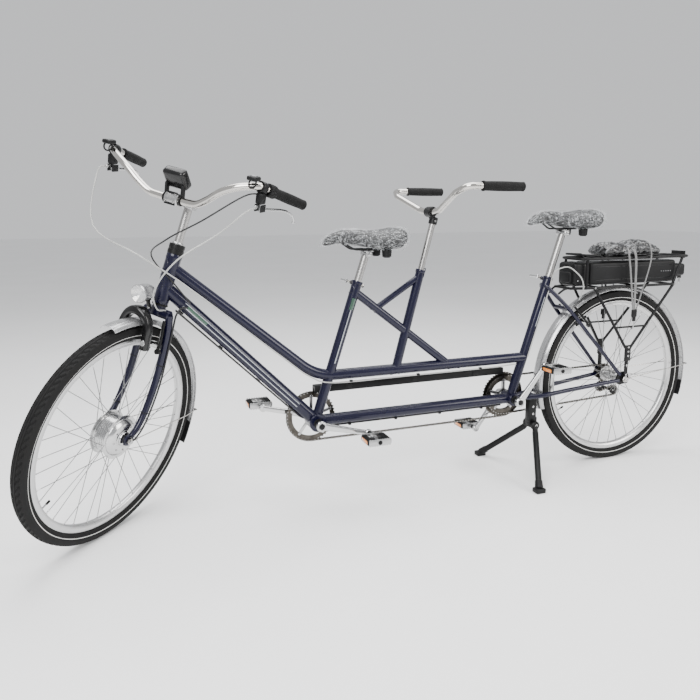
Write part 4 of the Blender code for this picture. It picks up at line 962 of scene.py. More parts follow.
def rim(name, hub, body, node, steer):
    """Machined box rim with its eyelets and valve."""
    p = Piece(name, body, "alloy")
    side = [(0.3125, 0.0122), (0.3118, 0.0125), (0.3012, 0.0125), (0.3004, 0.012), (0.2996, 0.0122)]
    side += [(0.296, 0.0102), (0.2925, 0.0075), (0.2911, 0.004)]
    profile = side + [(0.2908, 0.0)] + [(r, -y) for r, y in reversed(side)]
    p.turned(profile, hub, RIM_METAL, 216)
    p.turned([(0.3125, -0.0122), (0.31, -0.009), (0.31, 0.009), (0.3125, 0.0122)], hub, RIM_METAL, 216)
    for k in range(SPOKES):
        angle = FULL_TURN * k / SPOKES
        out = outward(angle)
        lean = sideways((1 if k % 2 == 0 else -1) * 0.003)
        p.lathe([(0.0036, 0), (0.0034, -0.001), (0.0016, -0.001)], hub + out * 0.2914 + lean, out,
                POLISHED, 12)
    angle = FULL_TURN * 0.5 / SPOKES + math.radians(200)
    out = outward(angle)
    p.rod(hub + out * 0.292, hub + out * 0.268, 0.0026, STEEL, 16)
    p.rod(hub + out * 0.276, hub + out * 0.262, 0.0036, BLACK_PLASTIC, 16)
    p.done([node], steer=steer)


def laced_hub(p, hub, radius, flange_y, lean):
    """Spokes crossed three times, with nipples at the rim and heads at the flange."""
    for i in range(SPOKES):
        side = -1 if i % 2 else 1
        leading = 1 if i // 2 % 2 else -1
        angle = FULL_TURN * i / SPOKES
        flange = sideways(side * flange_y + leading * 0.002)
        inner = outward(angle + leading * lean) * radius
        tip = outward(angle) * 0.2902 + sideways(side * 0.003)
        start, end = hub + inner + flange, hub + tip
        p.sweep([start, start.lerp(end, 0.5), end], 0.0011, SPOKE, 8)
        nipple = start.lerp(end, 1 - 0.013 / (end - start).length)
        p.rod(nipple, end, 0.0019, POLISHED, 10)
        p.rod(start - sideways(leading * 0.0026), start + sideways(leading * 0.001), 0.0019, STEEL, 10)


def flange(p, hub, radius, y, material):
    """A flange ring with a rolled edge."""
    edge = radius + 0.004
    ring = [(0.012, -0.0015), (edge - 0.0006, -0.0015), (edge, -0.0009), (edge, 0.0009),
            (edge - 0.0006, 0.0015), (0.012, 0.0015)]
    p.turned(ring, hub + sideways(y), material, 90)


def front_hub():
    p = Piece("motor_hub", "front_wheel", "alloy")
    half = [(0.007, 0.046), (0.021, 0.046), (0.022, 0.045), (0.0225, 0.0415), (0.03, 0.04)]
    half += [(0.047, 0.04), (0.05, 0.0385), (0.0585, 0.03), (0.06, 0.028), (0.06, 0.024),
             (0.059, 0.023)]
    p.turned(half + [(r, -y) for r, y in reversed(half)], FRONT_HUB, POLISHED, 120)
    for y in (-0.026, 0.026):
        flange(p, FRONT_HUB, 0.0665, y, POLISHED)
    for y in (-0.014, -0.007, 0.0, 0.007, 0.014):
        p.turned([(0.0588, y - 0.0022), (0.06, y - 0.0016), (0.06, y + 0.0016), (0.0588, y + 0.0022)],
                 FRONT_HUB, POLISHED, 120)
    for side in (-1, 1):
        for k in range(8):
            angle = FULL_TURN * k / 8
            at = FRONT_HUB + Vector((0.0405 * math.cos(angle), side * 0.04, 0.0405 * math.sin(angle)))
            p.bolt(at, (0, side, 0), 0.0032, STEEL, 0.0018)
        p.turned([(0.0235, side * 0.0412), (0.026, side * 0.042), (0.0285, side * 0.0408)], FRONT_HUB,
                 POLISHED, 90)
    laced_hub(p, FRONT_HUB, 0.0665, 0.026, math.radians(31))
    p.done(["front_hub"], steer=True)
    axle = Piece("front_axle_nuts", "fork", "chrome")
    axle.cross_bar(FRONT_HUB, 0.074, 0.0059, STEEL)
    for side in (-1, 1):
        axle.nut(FRONT_HUB + sideways(side * 0.0612), (0, side, 0), 0.0104, 0.0078, CHROME)
    axle.done(["front_axle"], steer=True)


def rear_hub():
    p = Piece("geared_hub", "rear_wheel", "alloy")
    shell = [(0.0066, -0.055), (0.015, -0.055), (0.016, -0.054), (0.02, -0.045), (0.0215, -0.031),
             (0.0195, -0.024)]
    shell += [(0.0188, 0.0), (0.0195, 0.024), (0.0215, 0.031), (0.015, 0.0345), (0.015, 0.0545),
              (0.0066, 0.055)]
    p.turned(shell, REAR_HUB, ALLOY, 72)
    for y in (-0.029, 0.029):
        flange(p, REAR_HUB, 0.028, y, ALLOY)
    laced_hub(p, REAR_HUB, 0.028, 0.029, math.radians(56))
    p.gear(REAR_HUB + sideways(DRIVE_Y), SPROCKET_TEETH, 0.016, 0.0014, CHAIN_STEEL)
    p.turned([(0.015, 0.0425), (0.019, 0.0425), (0.019, 0.0475), (0.015, 0.0475)], REAR_HUB,
             BLACK_METAL, 60)
    p.turned([(0.0165, 0.048), (0.032, 0.0485), (0.0322, 0.0492), (0.0165, 0.05)], REAR_HUB,
             BLACK_PLASTIC, 60)
    p.done(["rear_hub"])


def mudguard(name, hub, body, node, start, end, stay_angle, stay_y, steer, flap):
    """Rolled strip with beaded edges, a black flap at the low end, wire stays with their bolts."""
    p = Piece(name, body, "mudguard_silver")
    first, last = math.radians(start), math.radians(end)
    outer = [(0.377 - 0.013 * abs(k / 10) ** 3.2, 0.0288 * k / 10) for k in range(-10, 11)]
    inner = [(r - 0.0016, y * 0.965) for r, y in reversed(outer)]
    steps = round((end - start) * 1.3)
    p.turned(outer + inner, hub, MUDGUARD, steps, first, last, loop=True)
    for side in (-1, 1):
        bead = [
            (0.364 + 0.0011 * math.cos(a), side * 0.0284 + 0.0011 * math.sin(a))
            for a in [FULL_TURN * k / 8 for k in range(8)]
        ]
        p.turned(bead, hub, MUDGUARD, steps, first, last, loop=True)
    low, high = first - math.radians(flap), first + math.radians(4)
    wide = [(r + 0.0008, y * 1.01) for r, y in outer]
    p.turned(wide + [(r - 0.0034, y * 0.96) for r, y in reversed(wide)], hub, BLACK_PLASTIC, 14, low, high,
             loop=True)
    for k in (-0.012, 0.012):
        angle = first + math.radians(2)
        out = outward(angle)
        p.bolt(hub + out * 0.3768 + sideways(k), out, 0.003, STEEL, 0.0016)
    along = Vector((math.cos(math.radians(stay_angle)), 0, math.sin(math.radians(stay_angle))))
    for side in (-1, 1):
        path = rounded(
            [
                hub + along * 0.3765 + sideways(side * 0.004),
                hub + along * 0.376 + sideways(side * 0.033),
                hub + along * 0.3 + sideways(side * 0.046),
                hub + along * 0.036 + sideways(side * stay_y),
            ],
            0.02,
        )
        p.sweep(path, 0.0017, CHROME, 12)
        eye = hub + along * 0.03 + sideways(side * stay_y)
        p.torus(eye, (0, 1, 0), 0.005, 0.0016, CHROME, 24, 8)
        p.bolt(eye, (0, side, 0), 0.0042, STEEL, 0.003)
        p.box(hub + along * 0.3705 + sideways(side * 0.031), (0.01, 0.004, 0.012), BLACK_PLASTIC,
              aim(along))
    p.done([node], steer=steer, angle=50)


# ---- fork and bar --------------------------------------------------------------------------
def fork():
    p = Piece("fork_blades", "fork", "blue_paint")
    crown = on_axis(0.388)
    p.rod(crown, on_axis(0.5757), 0.014, ALLOY, 32)
    p.rod(crown - STEER_AXIS * 0.012, on_axis(0.413), 0.0215, PAINT, 36, chamfer=0.002)
    p.cross_bar(crown, 0.05, 0.0155, PAINT, 32, chamfer=0.004)
    p.lathe([(0.014, 0), (0.0248, 0), (0.0252, 0.0012), (0.0252, 0.0042), (0.0235, 0.005)],
            on_axis(0.4098), STEER_AXIS, BLACK_METAL, 44)
    route = [(crown.x, 0.046, crown.z), (0.156, 0.05, 0.672), (0.137, 0.052, 0.595),
             (0.114, 0.0535, 0.519)]
    route += [(0.079, 0.0555, 0.442), (0.045, 0.0565, 0.39), (0.012, 0.0575, 0.364)]
    tip = [(0.018, 0.345), (0.024, 0.368), (0.004, 0.373), (-0.014, 0.366), (-0.016, 0.344), (0.002, 0.337)]
    outline = [(q.x, q.z) for q in rounded([(x, 0, z) for x, z in tip + tip[:2]], 0.005, 5)[1:-1]]
    for side in (-1, 1):
        p.sweep(smooth([mirrored(q, side) for q in route], 10), lambda t: 0.0122 - 0.0032 * t**2, PAINT, 28)
        p.prism(outline, side * 0.0565, 0.0034, PAINT)
        p.rod((0.1405, side * 0.05, 0.6097), (0.1235, side * 0.05, 0.6143), 0.0045, PAINT)
        for q in ((0.1285, 0.0535, 0.566), (0.068, 0.056, 0.424)):
            p.torus(mirrored(q, side), (0.35, 0, 0.93), 0.0118, 0.0012, BLACK_PLASTIC, 32, 8)
    p.done(["fork"], steer=True)


def bar_route(side):
    """One half of the captain's bar: out, up, then swept back to the grip."""
    bend_end = GRIP_START - GRIP_AXIS * 0.066
    points = [(BAR_CLAMP.x, 0.05, BAR_CLAMP.z), (0.192, 0.09, 1.082), (0.188, 0.13, 1.105)]
    points += [(0.186, 0.175, 1.138), (0.196, 0.225, 1.162), bend_end]
    return [BAR_CLAMP, *smooth([mirrored(q, side) for q in points], 10), mirrored(GRIP_END, side)]


def stem_and_bar():
    p = Piece("adjustable_stem", "fork", "alloy")
    top = on_axis(0.735)
    p.rod(on_axis(0.6), top, 0.013, POST_METAL, 36)
    low, high = on_axis(0.5761), on_axis(0.608)
    height = (high - low).length
    profile = [(0.0145, 0), (0.0242, 0), (0.025, 0.001), (0.025, height * 0.42), (0.0238, height * 0.45)]
    profile += [(0.0238, height * 0.55), (0.0246, height * 0.58), (0.0246, height - 0.0015),
                (0.02, height), (0.0135, height)]
    p.lathe(profile, low, STEER_AXIS, BLACK_METAL, 48)
    p.lathe([(0.0135, 0), (0.018, 0), (0.018, 0.003), (0.015, 0.006), (0.0135, 0.006)], high, STEER_AXIS,
            STEEL, 48)
    p.cross_bar(top, 0.02, 0.0173, ALLOY, 40, chamfer=0.002)
    for side in (-1, 1):
        p.bolt(top + sideways(side * 0.02), (0, side, 0), 0.0066, STEEL, 0.003)
    heading = (BAR_CLAMP - top).normalized()
    across = Vector((heading.z, 0, -heading.x))
    sections = ((0.0, 0.015, 0.014), (0.35, 0.0125, 0.0135), (0.7, 0.013, 0.015), (1.0, 0.017, 0.019))
    p.tapered(top, BAR_CLAMP, sections, ALLOY, 32)
    p.cross_bar(BAR_CLAMP, 0.024, 0.0188, ALLOY, 40, chamfer=0.003)
    plate_turn = aim(heading) @ Matrix.Rotation(math.pi / 2, 4, "Y")
    p.box(BAR_CLAMP + heading * 0.0125, (0.0022, 0.04, 0.04), BLACK_METAL, plate_turn)
    for y in (-0.015, 0.015):
        for lift in (-0.012, 0.012):
            at = BAR_CLAMP + heading * 0.016 + across * lift + sideways(y)
            p.bolt(at, heading, 0.0034, STEEL, 0.003)
    p.done(["stem"], steer=True)
    bar = Piece("captain_bar", "fork", "chrome")
    left, right = bar_route(-1), bar_route(1)
    bar.sweep(left[:0:-1] + right[1:], BAR_R, CHROME, 28)
    bar.done(["handlebar"], steer=True)


def ribbed_grip(p, start, end, ribs=16):
    """A rubber grip with flanged ends, a palm swell and fine grooves."""
    start, end = Vector(start), Vector(end)
    length = (end - start).length
    profile = [(0.0115, 0.0), (GRIP_R * 0.97, 0.0), (GRIP_R, 0.0012), (GRIP_R, 0.0048),
               (GRIP_R * 0.9, 0.0062)]
    for k in range(ribs * 4):
        t = k / (ribs * 4)
        swell = 0.9 + 0.07 * math.sin(math.pi * t)
        cut = 0.0008 if k % 4 == 3 else 0.0
        profile.append((GRIP_R * swell - cut, 0.0068 + t * (length - 0.013)))
    profile += [(GRIP_R * 0.92, length - 0.0055), (GRIP_R * 0.95, length - 0.003),
                (GRIP_R * 0.8, length - 0.0005), (0, length)]
    p.lathe(profile, start, end - start, RUBBER, 40)


def lever(name, body, node, side):
    """A two-finger brake lever: forged silver blade with a black insert."""
    p = Piece(name, body, "alloy")
    top = mirrored(LEVER_STATION, side) + Vector((-0.001, side * 0.002, -0.062))
    route = [(-0.006, 0, 0.001), (0.04, side * 0.006, -0.004), (0.1, side * 0.018, -0.01)]
    route += [(0.138, side * 0.026, -0.024), (0.152, side * 0.029, -0.046)]
    path = smooth([top + Vector(q) for q in route], 8)
    p.sweep(path, lambda t: 0.0062 - 0.0012 * t, POLISHED, 20, up=(0, 0, 1), flat=0.62)
    p.sweep([q + upward(0.0028) for q in path[6:20]], 0.0034, BLACK_PLASTIC, 14, up=(0, 0, 1), flat=0.55)
    p.rod(top + upward(-0.007), top + upward(0.006), 0.005, STEEL, 20)
    p.rod(path[-1] - upward(0.001), path[-1] + Vector((0.0004, 0, -0.005)), 0.005, POLISHED, 20)
    p.done([node], steer=True)


def controls():
    for side, word in ((-1, "left"), (1, "right")):
        start, end = mirrored(GRIP_START, side), mirrored(GRIP_END, side)
        along = (end - start).normalized()
        p = Piece(f"captain_{word}_grip", "fork", "rubber")
        ribbed_grip(p, start, end + along * 0.006)
        p.done([f"{word}_grip"], steer=True)
        station = mirrored(LEVER_STATION, side)
        p = Piece(f"{word}_lever_perch", "fork", "black_plastic")
        clamp = [(0.0118, -0.01), (0.017, -0.01), (0.0175, -0.009), (0.0175, 0.009), (0.017, 0.01),
                 (0.0118, 0.01)]
        p.lathe(clamp, station, along, BLACK_METAL, 36)
        p.box(station + Vector((-0.004, side * 0.002, -0.03)), (0.028, 0.023, 0.034), BLACK_METAL,
              bevel=0.006)
        for y in (-0.0098, 0.0098):
            at = station + Vector((-0.003, side * 0.002 + y, -0.058))
            p.box(at, (0.026, 0.0036, 0.022), BLACK_METAL, bevel=0.0015)
        nose = station + Vector((-0.016, side * 0.003, -0.05))
        p.rod(nose, nose + Vector((-0.016, side * 0.001, -0.003)), 0.0052, STEEL, 24)
        p.torus(nose + Vector((-0.007, 0, -0.001)), (1, 0, 0), 0.0052, 0.0014, BLACK_PLASTIC, 24, 8)
        p.done([f"{word}_lever_clamp"], steer=True)
        lever(f"{word}_lever_blade", f"{word}_brake_lever", f"{word}_brake_lever", side)
    twist_grip()
    remotes()


def twist_grip():
    """Ribbed twist collar beside the left grip."""
    start, station = mirrored(GRIP_START, -1), mirrored(LEVER_STATION, -1)
    along = (start - station).normalized()
    p = Piece("twist_collar", "twist_shifter", "black_plastic")
    first, last = station + along * 0.0222, start - along * 0.0014
    length = (last - first).length
    profile = [(0.0122, 0), (0.019, 0), (0.0198, 0.0012), (0.0198, length - 0.0015), (0.0188, length),
               (0.0122, length)]

    def knurl(r, h, angle):
        return (r - 0.0013 if r > 0.0193 and math.sin(angle * 20) < 0 else r), h

    p.lathe(profile, first, along, BLACK_PLASTIC, 160, warp=knurl)
    p.done(["twist_shifter"], steer=True)


def remotes():
    """Assist remote on the left and a thumb shifter on the right, each a moulded pod."""
    for side, name in ((-1, "assist_remote"), (1, "thumb_shifter_pod")):
        at = mirrored(GRIP_START - GRIP_AXIS * 0.094, side)
        p = Piece(name, "fork", "black_plastic")
        p.box(at + Vector((0.004, 0, 0.014)), (0.034, 0.03, 0.013), BLACK_PLASTIC, bevel=0.005,
              segments=4)
        p.torus(at, mirrored(GRIP_AXIS, side), 0.0135, 0.0026, BLACK_PLASTIC, 36, 10)
        top = at + Vector((0.004, 0, 0.0205))
        if side < 0:
            p.lathe([(0, 0.002), (0.007, 0.0018), (0.008, 0.0), (0.008, -0.002)], top, (0, 0, 1),
                    GREY_PLASTIC, 30)
            p.lathe([(0.0088, 0.0), (0.0096, 0.0008), (0.0104, 0.0)], top, (0, 0, 1), GLOSS_BLACK, 30)
        else:
            p.box(top, (0.018, 0.014, 0.0012), SCREEN, bevel=0.0005)
            p.box(at + Vector((0.022, -0.006, -0.004)), (0.022, 0.006, 0.012), BLACK_PLASTIC, bevel=0.002)
        p.done(steer=True)


def display():
    """Tilted display with a dark screen behind a bezel and a soft key strip."""
    p = Piece("bar_display", "fork", "gloss_black")
    tilt = Matrix.Rotation(math.radians(-32), 4, "Y")
    centre = Vector((0.206, 0, 1.139))
    p.box(centre, (0.033, 0.077, 0.063), GLOSS_BLACK, tilt, bevel=0.01, segments=4)
    face = tilt.to_3x3() @ Vector((1, 0, 0))
    up = tilt.to_3x3() @ Vector((0, 0, 1))
    p.box(centre + face * 0.0162 + up * 0.006, (0.0016, 0.058, 0.036), SCREEN, tilt, bevel=0.0006)
    for y in (-0.018, 0, 0.018):
        p.box(centre + face * 0.0162 - up * 0.021 + sideways(y), (0.0026, 0.012, 0.006), GREY_PLASTIC, tilt,
              bevel=0.001)
    for y in (-0.03, 0.03):
        p.box((0.2, y, 1.104), (0.014, 0.0095, 0.04), BLACK_PLASTIC, bevel=0.003)
        p.torus((BAR_CLAMP.x, y, BAR_CLAMP.z), (0, 1, 0), 0.0135, 0.0024, BLACK_PLASTIC, 40, 10)
    p.done(["display"], steer=True)


def head_lamp():
    """Round silver lamp with a ribbed lens, on a strip bracket."""
    p = Piece("round_lamp", "fork", "silver_plastic")
    centre = Vector((0.104, 0, 0.8))
    shell = [(0.0266, 0.0), (0.028, 0.0012), (0.028, 0.006), (0.0268, 0.0075), (0.0262, 0.028),
             (0.0235, 0.042)]
    shell += [(0.018, 0.053), (0.01, 0.059), (0, 0.06)]
    front = centre + Vector((-0.034, 0, 0.002))
    p.lathe(shell, front, (1, 0, 0), MUDGUARD, 60)
    p.lathe([(0.0266, 0.0), (0.025, 0.0016), (0.012, 0.015), (0, 0.017)], front, (1, 0, 0), CHROME, 60)
    p.lathe([(0.0262, 0.0006), (0.02, -0.0008), (0.01, -0.0016), (0, -0.0018)], front, (1, 0, 0), GLASS,
            60)
    p.lathe([(0.0, 0.006), (0.003, 0.0065), (0.0035, 0.014), (0, 0.016)], front, (1, 0, 0), WHITE_STRIPE,
            20)
    p.box((0.116, 0, 0.768), (0.003, 0.016, 0.052), BLACK_METAL, Matrix.Rotation(math.radians(-16), 4,
        "Y"), bevel=0.001)
    p.box(centre + Vector((0.01, 0, -0.0255)), (0.02, 0.012, 0.006), BLACK_PLASTIC, bevel=0.002)
    p.bolt((0.121, 0, 0.748), (-1, 0, -0.28), 0.004, STEEL)
    p.done(["head_lamp"], steer=True)


def ring_lock():
    """Horseshoe frame lock with rounded shell, key barrel and the shackle's end."""
    p = Piece("ring_lock", "fork", "gloss_black")
    angle = math.radians(79)
    out = outward(angle)
    tangent = Vector((-out.z, 0, out.x))
    centre = FRONT_HUB + out * 0.343
    rings = []
    count = 40
    for k in range(-6, count + 7):
        a = math.pi * min(max(k, 0), count) / count
        drop = 0.052 * (-k if k < 0 else max(0, k - count)) / 6
        wide, tall = (0.0365 + 0.06) / 2, (0.046 + 0.066) / 2
        middle = sideways(wide * math.cos(a)) + out * (tall * math.sin(a) - drop)
        normal = (sideways(math.cos(a)) + out * math.sin(a)).normalized()
        half = 0.0118 * (1 - 0.15 * math.sin(a))
        crown = 0.5 * math.sin(a) ** 3
        ring = []
        for j in range(20):
            b = FULL_TURN * j / 20
            c, s = math.cos(b), math.sin(b)
            ring.append(
                centre
                + middle
                + normal * half * (1 + (1.5 * crown if c > 0 else 0)) * squared(c, 0.55)
                + tangent * 0.014 * (1 + crown) * squared(s, 0.55)
            )
        rings.append(ring)
    p.rings(rings, GLOSS_BLACK)
    barrel = centre + sideways(-0.048) - out * 0.03 - tangent * 0.0135
    p.lathe([(0.0085, 0), (0.009, 0.0008), (0.0078, 0.0022), (0.003, 0.0022), (0.0, 0.0016)],
            barrel + tangent * 0.0268, tangent, STEEL, 30)
    for side in (-1, 1):
        p.rod(centre + sideways(side * 0.0375) - out * 0.03,
              centre + sideways(side * 0.034) - out * 0.03, 0.0042, CHROME, 24)
    p.done(["wheel_lock"], steer=True, angle=45)


def brake_arm(word, name, hub, post_at, along, side, steer):
    """A V-brake arm with its pivot, spring, pad holder and block."""
    p = Piece(f"{name}_brake_{word}", f"{name}_brake_arm_{word}", "black_metal")
    forward = Vector((-along.z, 0, along.x))
    from_hub = Vector((post_at.x, 0, post_at.z)) - hub
    reach = from_hub.dot(along)
    to_pad = math.sqrt(reach**2 + (RIM_R - 0.007) ** 2 - from_hub.length_squared) - reach
    post = mirrored(post_at, side)
    top = post + along * 0.098 - sideways(side * 0.004)
    pad = hub + from_hub + along * to_pad + sideways(side * 0.02)
    rim_line = Vector((hub.z - pad.z, 0, pad.x - hub.x)).normalized()
    p.rod(post - forward * 0.007, post + forward * 0.007, 0.0084, BLACK_METAL, 28)
    p.bolt(post - forward * 0.007, -forward, 0.005, STEEL, 0.002)
    middle = post.lerp(top, 0.5) + sideways(side * 0.0008)
    p.sweep(smooth([post, middle, top], 8), lambda t: 0.007 - 0.0018 * t, BLACK_METAL, 20, up=forward,
            flat=0.72)
    p.rod(pad, Vector((pad.x, side * (post_at.y - 0.002), pad.z)), 0.0035, STEEL, 20)
    p.nut(Vector((pad.x, side * (post_at.y - 0.006), pad.z)), (0, side, 0), 0.0055, 0.004, STEEL)
    p.sweep([pad - rim_line * 0.028, pad, pad + rim_line * 0.028], 0.0052, RUBBER, 16, up=(0, 1, 0),
            flat=0.95)
    p.torus(post + along * 0.01, forward, 0.0062, 0.0008, STEEL, 24, 8)
    p.rod(post + along * 0.014 + forward * 0.004, top - along * 0.03 + forward * 0.0046, 0.0008, STEEL, 8)
    p.bolt(top - along * 0.006 - forward * 0.003, -forward, 0.0036, STEEL, 0.003)
    p.done([f"{name}_brake_arm_{word}"], steer=steer)


def brakes():
    front_post, front_along = Vector((0.1155, 0.05, 0.6165)), Vector((0.261, 0, 0.965))
    rear_post, rear_along = Vector((1.791, 0.052, 0.586)), Vector((-0.671, 0, 0.741))
    for side, word in ((-1, "left"), (1, "right")):
        brake_arm(word, "front", FRONT_HUB, front_post, front_along, side, True)
        brake_arm(word, "rear", REAR_HUB, rear_post, rear_along, side, False)


# ---- drive train ---------------------------------------------------------------------------
def chain_radius(teeth):
    return PITCH * teeth / (FULL_TURN)


def belt(pulleys, y):
    """Evenly spaced points along the closed line of a chain round (centre, radius, sense) pulleys."""
    centres = [Vector((c[0], c[2])) for c, _, _ in pulleys]
    touches = []
    for i, (_, radius, sense) in enumerate(pulleys):
        j = (i + 1) % len(pulleys)
        span = centres[j] - centres[i]
        lean = math.asin((sense * radius - pulleys[j][2] * pulleys[j][1]) / span.length)
        normal = math.atan2(span.y, span.x) - math.pi / 2 + lean
        out = Vector((math.cos(normal), math.sin(normal)))
        touches.append((centres[i] + out * sense * radius,
                        centres[j] + out * pulleys[j][2] * pulleys[j][1]))
    line = []
    for i, (_, radius, sense) in enumerate(pulleys):
        arrive, leave = touches[i - 1][1] - centres[i], touches[i][0] - centres[i]
        begin = math.atan2(arrive.y, arrive.x)
        turn = (math.atan2(leave.y, leave.x) - begin) * sense % (FULL_TURN) * sense
        for k in range(61):
            angle = begin + turn * k / 60
            line.append(Vector((centres[i].x + radius * math.cos(angle), y,
                                centres[i].y + radius * math.sin(angle))))
    line.append(line[0])
    total = route_length(line)
    count = round(total / PITCH)
    count += count % 2
    points, travelled, target = [], 0.0, 0.0
    for a, b in zip(line, line[1:]):
        step = (b - a).length
        while target < travelled + step - 1e-9 and len(points) < count:
            points.append(a.lerp(b, (target - travelled) / step))
            target += total / count
        travelled += step
    return points


def link_plate(p, start, end, y, radius, half):
    """A figure-of-eight side plate between two pins."""
    heading = (end - start).normalized()
    up = Vector((-heading.z, 0, heading.x))
    outline = []
    for centre, first in ((end, -math.pi / 2), (start, math.pi / 2)):
        for k in range(6):
            a = first + math.pi * k / 5
            outline.append(centre + heading * radius * math.cos(a) + up * radius * math.sin(a))
        waist = (start + end) / 2 + up * radius * 0.72 * (1 if first < 0 else -1)
        outline.append(waist)
    p.rings([[q + sideways(y + s * half) for q in outline] for s in (-1, 1)], CHAIN_STEEL)


def chain(name, node, pulleys, y):
    """A roller chain: inner and outer links in turn, each with its rollers and pins."""
    p = Piece(name, "frame", "chain_steel")
    pins = belt(pulleys, y)
    for i, start in enumerate(pins):
        end = pins[(i + 1) % len(pins)]
        spread = 0.003 if i % 2 else 0.002
        for s in (-1, 1):
            link_plate(p, start, end, s * spread, 0.0038, 0.00045)
        reach = sideways(0.0036)
        p.lathe([(0, 0), (0.0017, 0), (0.0017, 0.0072), (0, 0.0072)], start - reach, (0, 1, 0), STEEL, 8)
        p.lathe([(0, 0), (0.0036, 0), (0.0036, 0.003), (0, 0.003)], start - sideways(0.0015), (0, 1, 0),
                CHAIN_STEEL, 10)
    p.done([node])


def crank_arm(p, axle, end, side, inner_y, outer_y):
    """A forged arm: round boss, waisted beam with rounded flanks and a pedal eye."""
    near, far = Vector((axle.x, side * inner_y, axle.z)), Vector((end.x, side * outer_y, end.z))
    thick = sideways(side * 0.0065)
    p.rod(near - thick, near + thick * 1.3, 0.0185, POLISHED, 44, chamfer=0.002)
    p.rod(far - thick, far + thick, 0.0133, POLISHED, 40, chamfer=0.002)
    heading = (far - near).normalized()
    across = heading.cross(Vector((0, 1, 0))).normalized()
    depth = heading.cross(across)
    rings = []
    for k in range(13):
        t = k / 12
        at = near.lerp(far - thick * 0.3, t)
        tall, deep = 0.0142 - 0.0052 * math.sin(math.pi * min(1, t * 1.15) * 0.5), 0.0078 - 0.0016 * t
        ring = []
        for j in range(24):
            a = FULL_TURN * j / 24
            c, s = math.cos(a), math.sin(a)
            ring.append(at + across * tall * squared(c, 0.6) + depth * deep * squared(s, 0.6))
        rings.append(ring)
    p.rings(rings, POLISHED)
    cap = near + thick * 1.3
    p.lathe([(0.0, 0.0014), (0.0095, 0.0012), (0.011, 0.0)], cap, (0, side, 0), BLACK_PLASTIC, 36)
    p.torus(cap, (0, 1, 0), 0.0125, 0.0009, POLISHED, 40, 8)


def pedal(word, end, side, inner_y):
    """Platform pedal: silver cage plates, black block treads, amber reflectors at both ends."""
    p = Piece(f"{word}_pedal_body", f"{word}_pedal", "black_plastic")
    centre = Vector((end.x, side * (inner_y + 0.056), end.z))
    start = Vector((end.x, side * (inner_y + 0.0006), end.z))
    p.rod(start, centre + sideways(side * 0.044), 0.007, STEEL, 28)
    p.rod(start, start + sideways(side * 0.018), 0.0104, BLACK_PLASTIC, 32, end_radius=0.0085)
    for y in (-0.03, 0.04):
        at = centre + sideways(side * y)
        p.box(at, (0.079, 0.0028, 0.021), ALLOY, bevel=0.0013)
        for x in range(-4, 5):
            for z in (-0.0112, 0.0112):
                p.box(at + Vector((x * 0.0088, 0, z * 0.97)), (0.0044, 0.0026, 0.003), ALLOY, bevel=0.0006)
    for x in (-0.032, 0.032):
        at = centre + Vector((x, side * 0.005, 0))
        p.box(at, (0.021, 0.068, 0.0165), BLACK_PLASTIC, bevel=0.003)
        for y in range(-3, 4):
            for z in (-0.0086, 0.0086):
                p.box(at + Vector((0, y * 0.0092, z)), (0.018, 0.004, 0.0024), RUBBER, bevel=0.0009)
        out = math.copysign(1, x)
        p.box(at + Vector((out * 0.0095, 0, 0)), (0.0032, 0.05, 0.012), AMBER, bevel=0.0012)
    p.box(centre, (0.048, 0.02, 0.0095), BLACK_PLASTIC, bevel=0.002)
    p.lathe([(0, 0.0022), (0.006, 0.002), (0.0078, 0.0)], centre + sideways(side * 0.043), (0, side, 0),
            BLACK_PLASTIC, 28)
    p.done([f"{word}_pedal"])


def crankset(word, axle, angle, rings):
    ends = {}
    for side, sign, side_word, inner, outer in ((-1, 1, "left", 0.066, 0.086),
                                                (1, -1, "right", 0.071, 0.09)):
        end = Vector((axle.x + CRANK * sign * math.cos(angle), 0, axle.z + CRANK * sign * math.sin(angle)))
        ends[side] = end
        p = Piece(f"{word}_{side_word}_crank_arm", f"{word}_crank", "alloy")
        crank_arm(p, axle, end, side, inner, outer)
        if side > 0:
            p.rod(axle + sideways(-0.068), axle + sideways(0.066), 0.0087, STEEL, 32)
            p.rod(axle + sideways(0.0385), axle + sideways(0.066), 0.0169, POLISHED, 40)
        p.done([f"{word}_{side_word}_crank"])
    plural = len(rings) > 1
    p = Piece(f"{word}_ring_set", f"{word}_crank", "alloy")
    inner = chain_radius(min(t for _, t in rings)) - 0.0185
    for y, teeth in rings:
        p.gear(axle + sideways(y), teeth, inner, 0.0014, CHAIN_STEEL)
    low, high = min(y for y, _ in rings), max(y for y, _ in rings)
    reach = (high - low) / 2 + 0.0014
    hub = axle + sideways((low + high) / 2)
    p.turned([(0.0176, -reach), (0.026, -reach), (0.026, reach), (0.0176, reach)], hub, ALLOY, 60)
    for k in range(5):
        turn = FULL_TURN * k / 5 + 0.3
        heading = outward(turn)
        start, end = hub + heading * 0.022, hub + heading * (inner + 0.005)
        p.box((start + end) / 2, ((end - start).length, 2 * reach, 0.0118), ALLOY,
              Matrix.Rotation(-turn, 4, "Y"), bevel=0.0012)
        for s in (-1, 1):
            p.bolt(end - heading * 0.001 + sideways(s * reach), (0, s, 0), 0.0052, STEEL, 0.0016)
    p.done([f"{word}_chainrings" if plural else f"{word}_chainring"])
    pedal(f"{word}_left", ends[-1], -1, 0.0925)
    pedal(f"{word}_right", ends[1], 1, 0.0965)


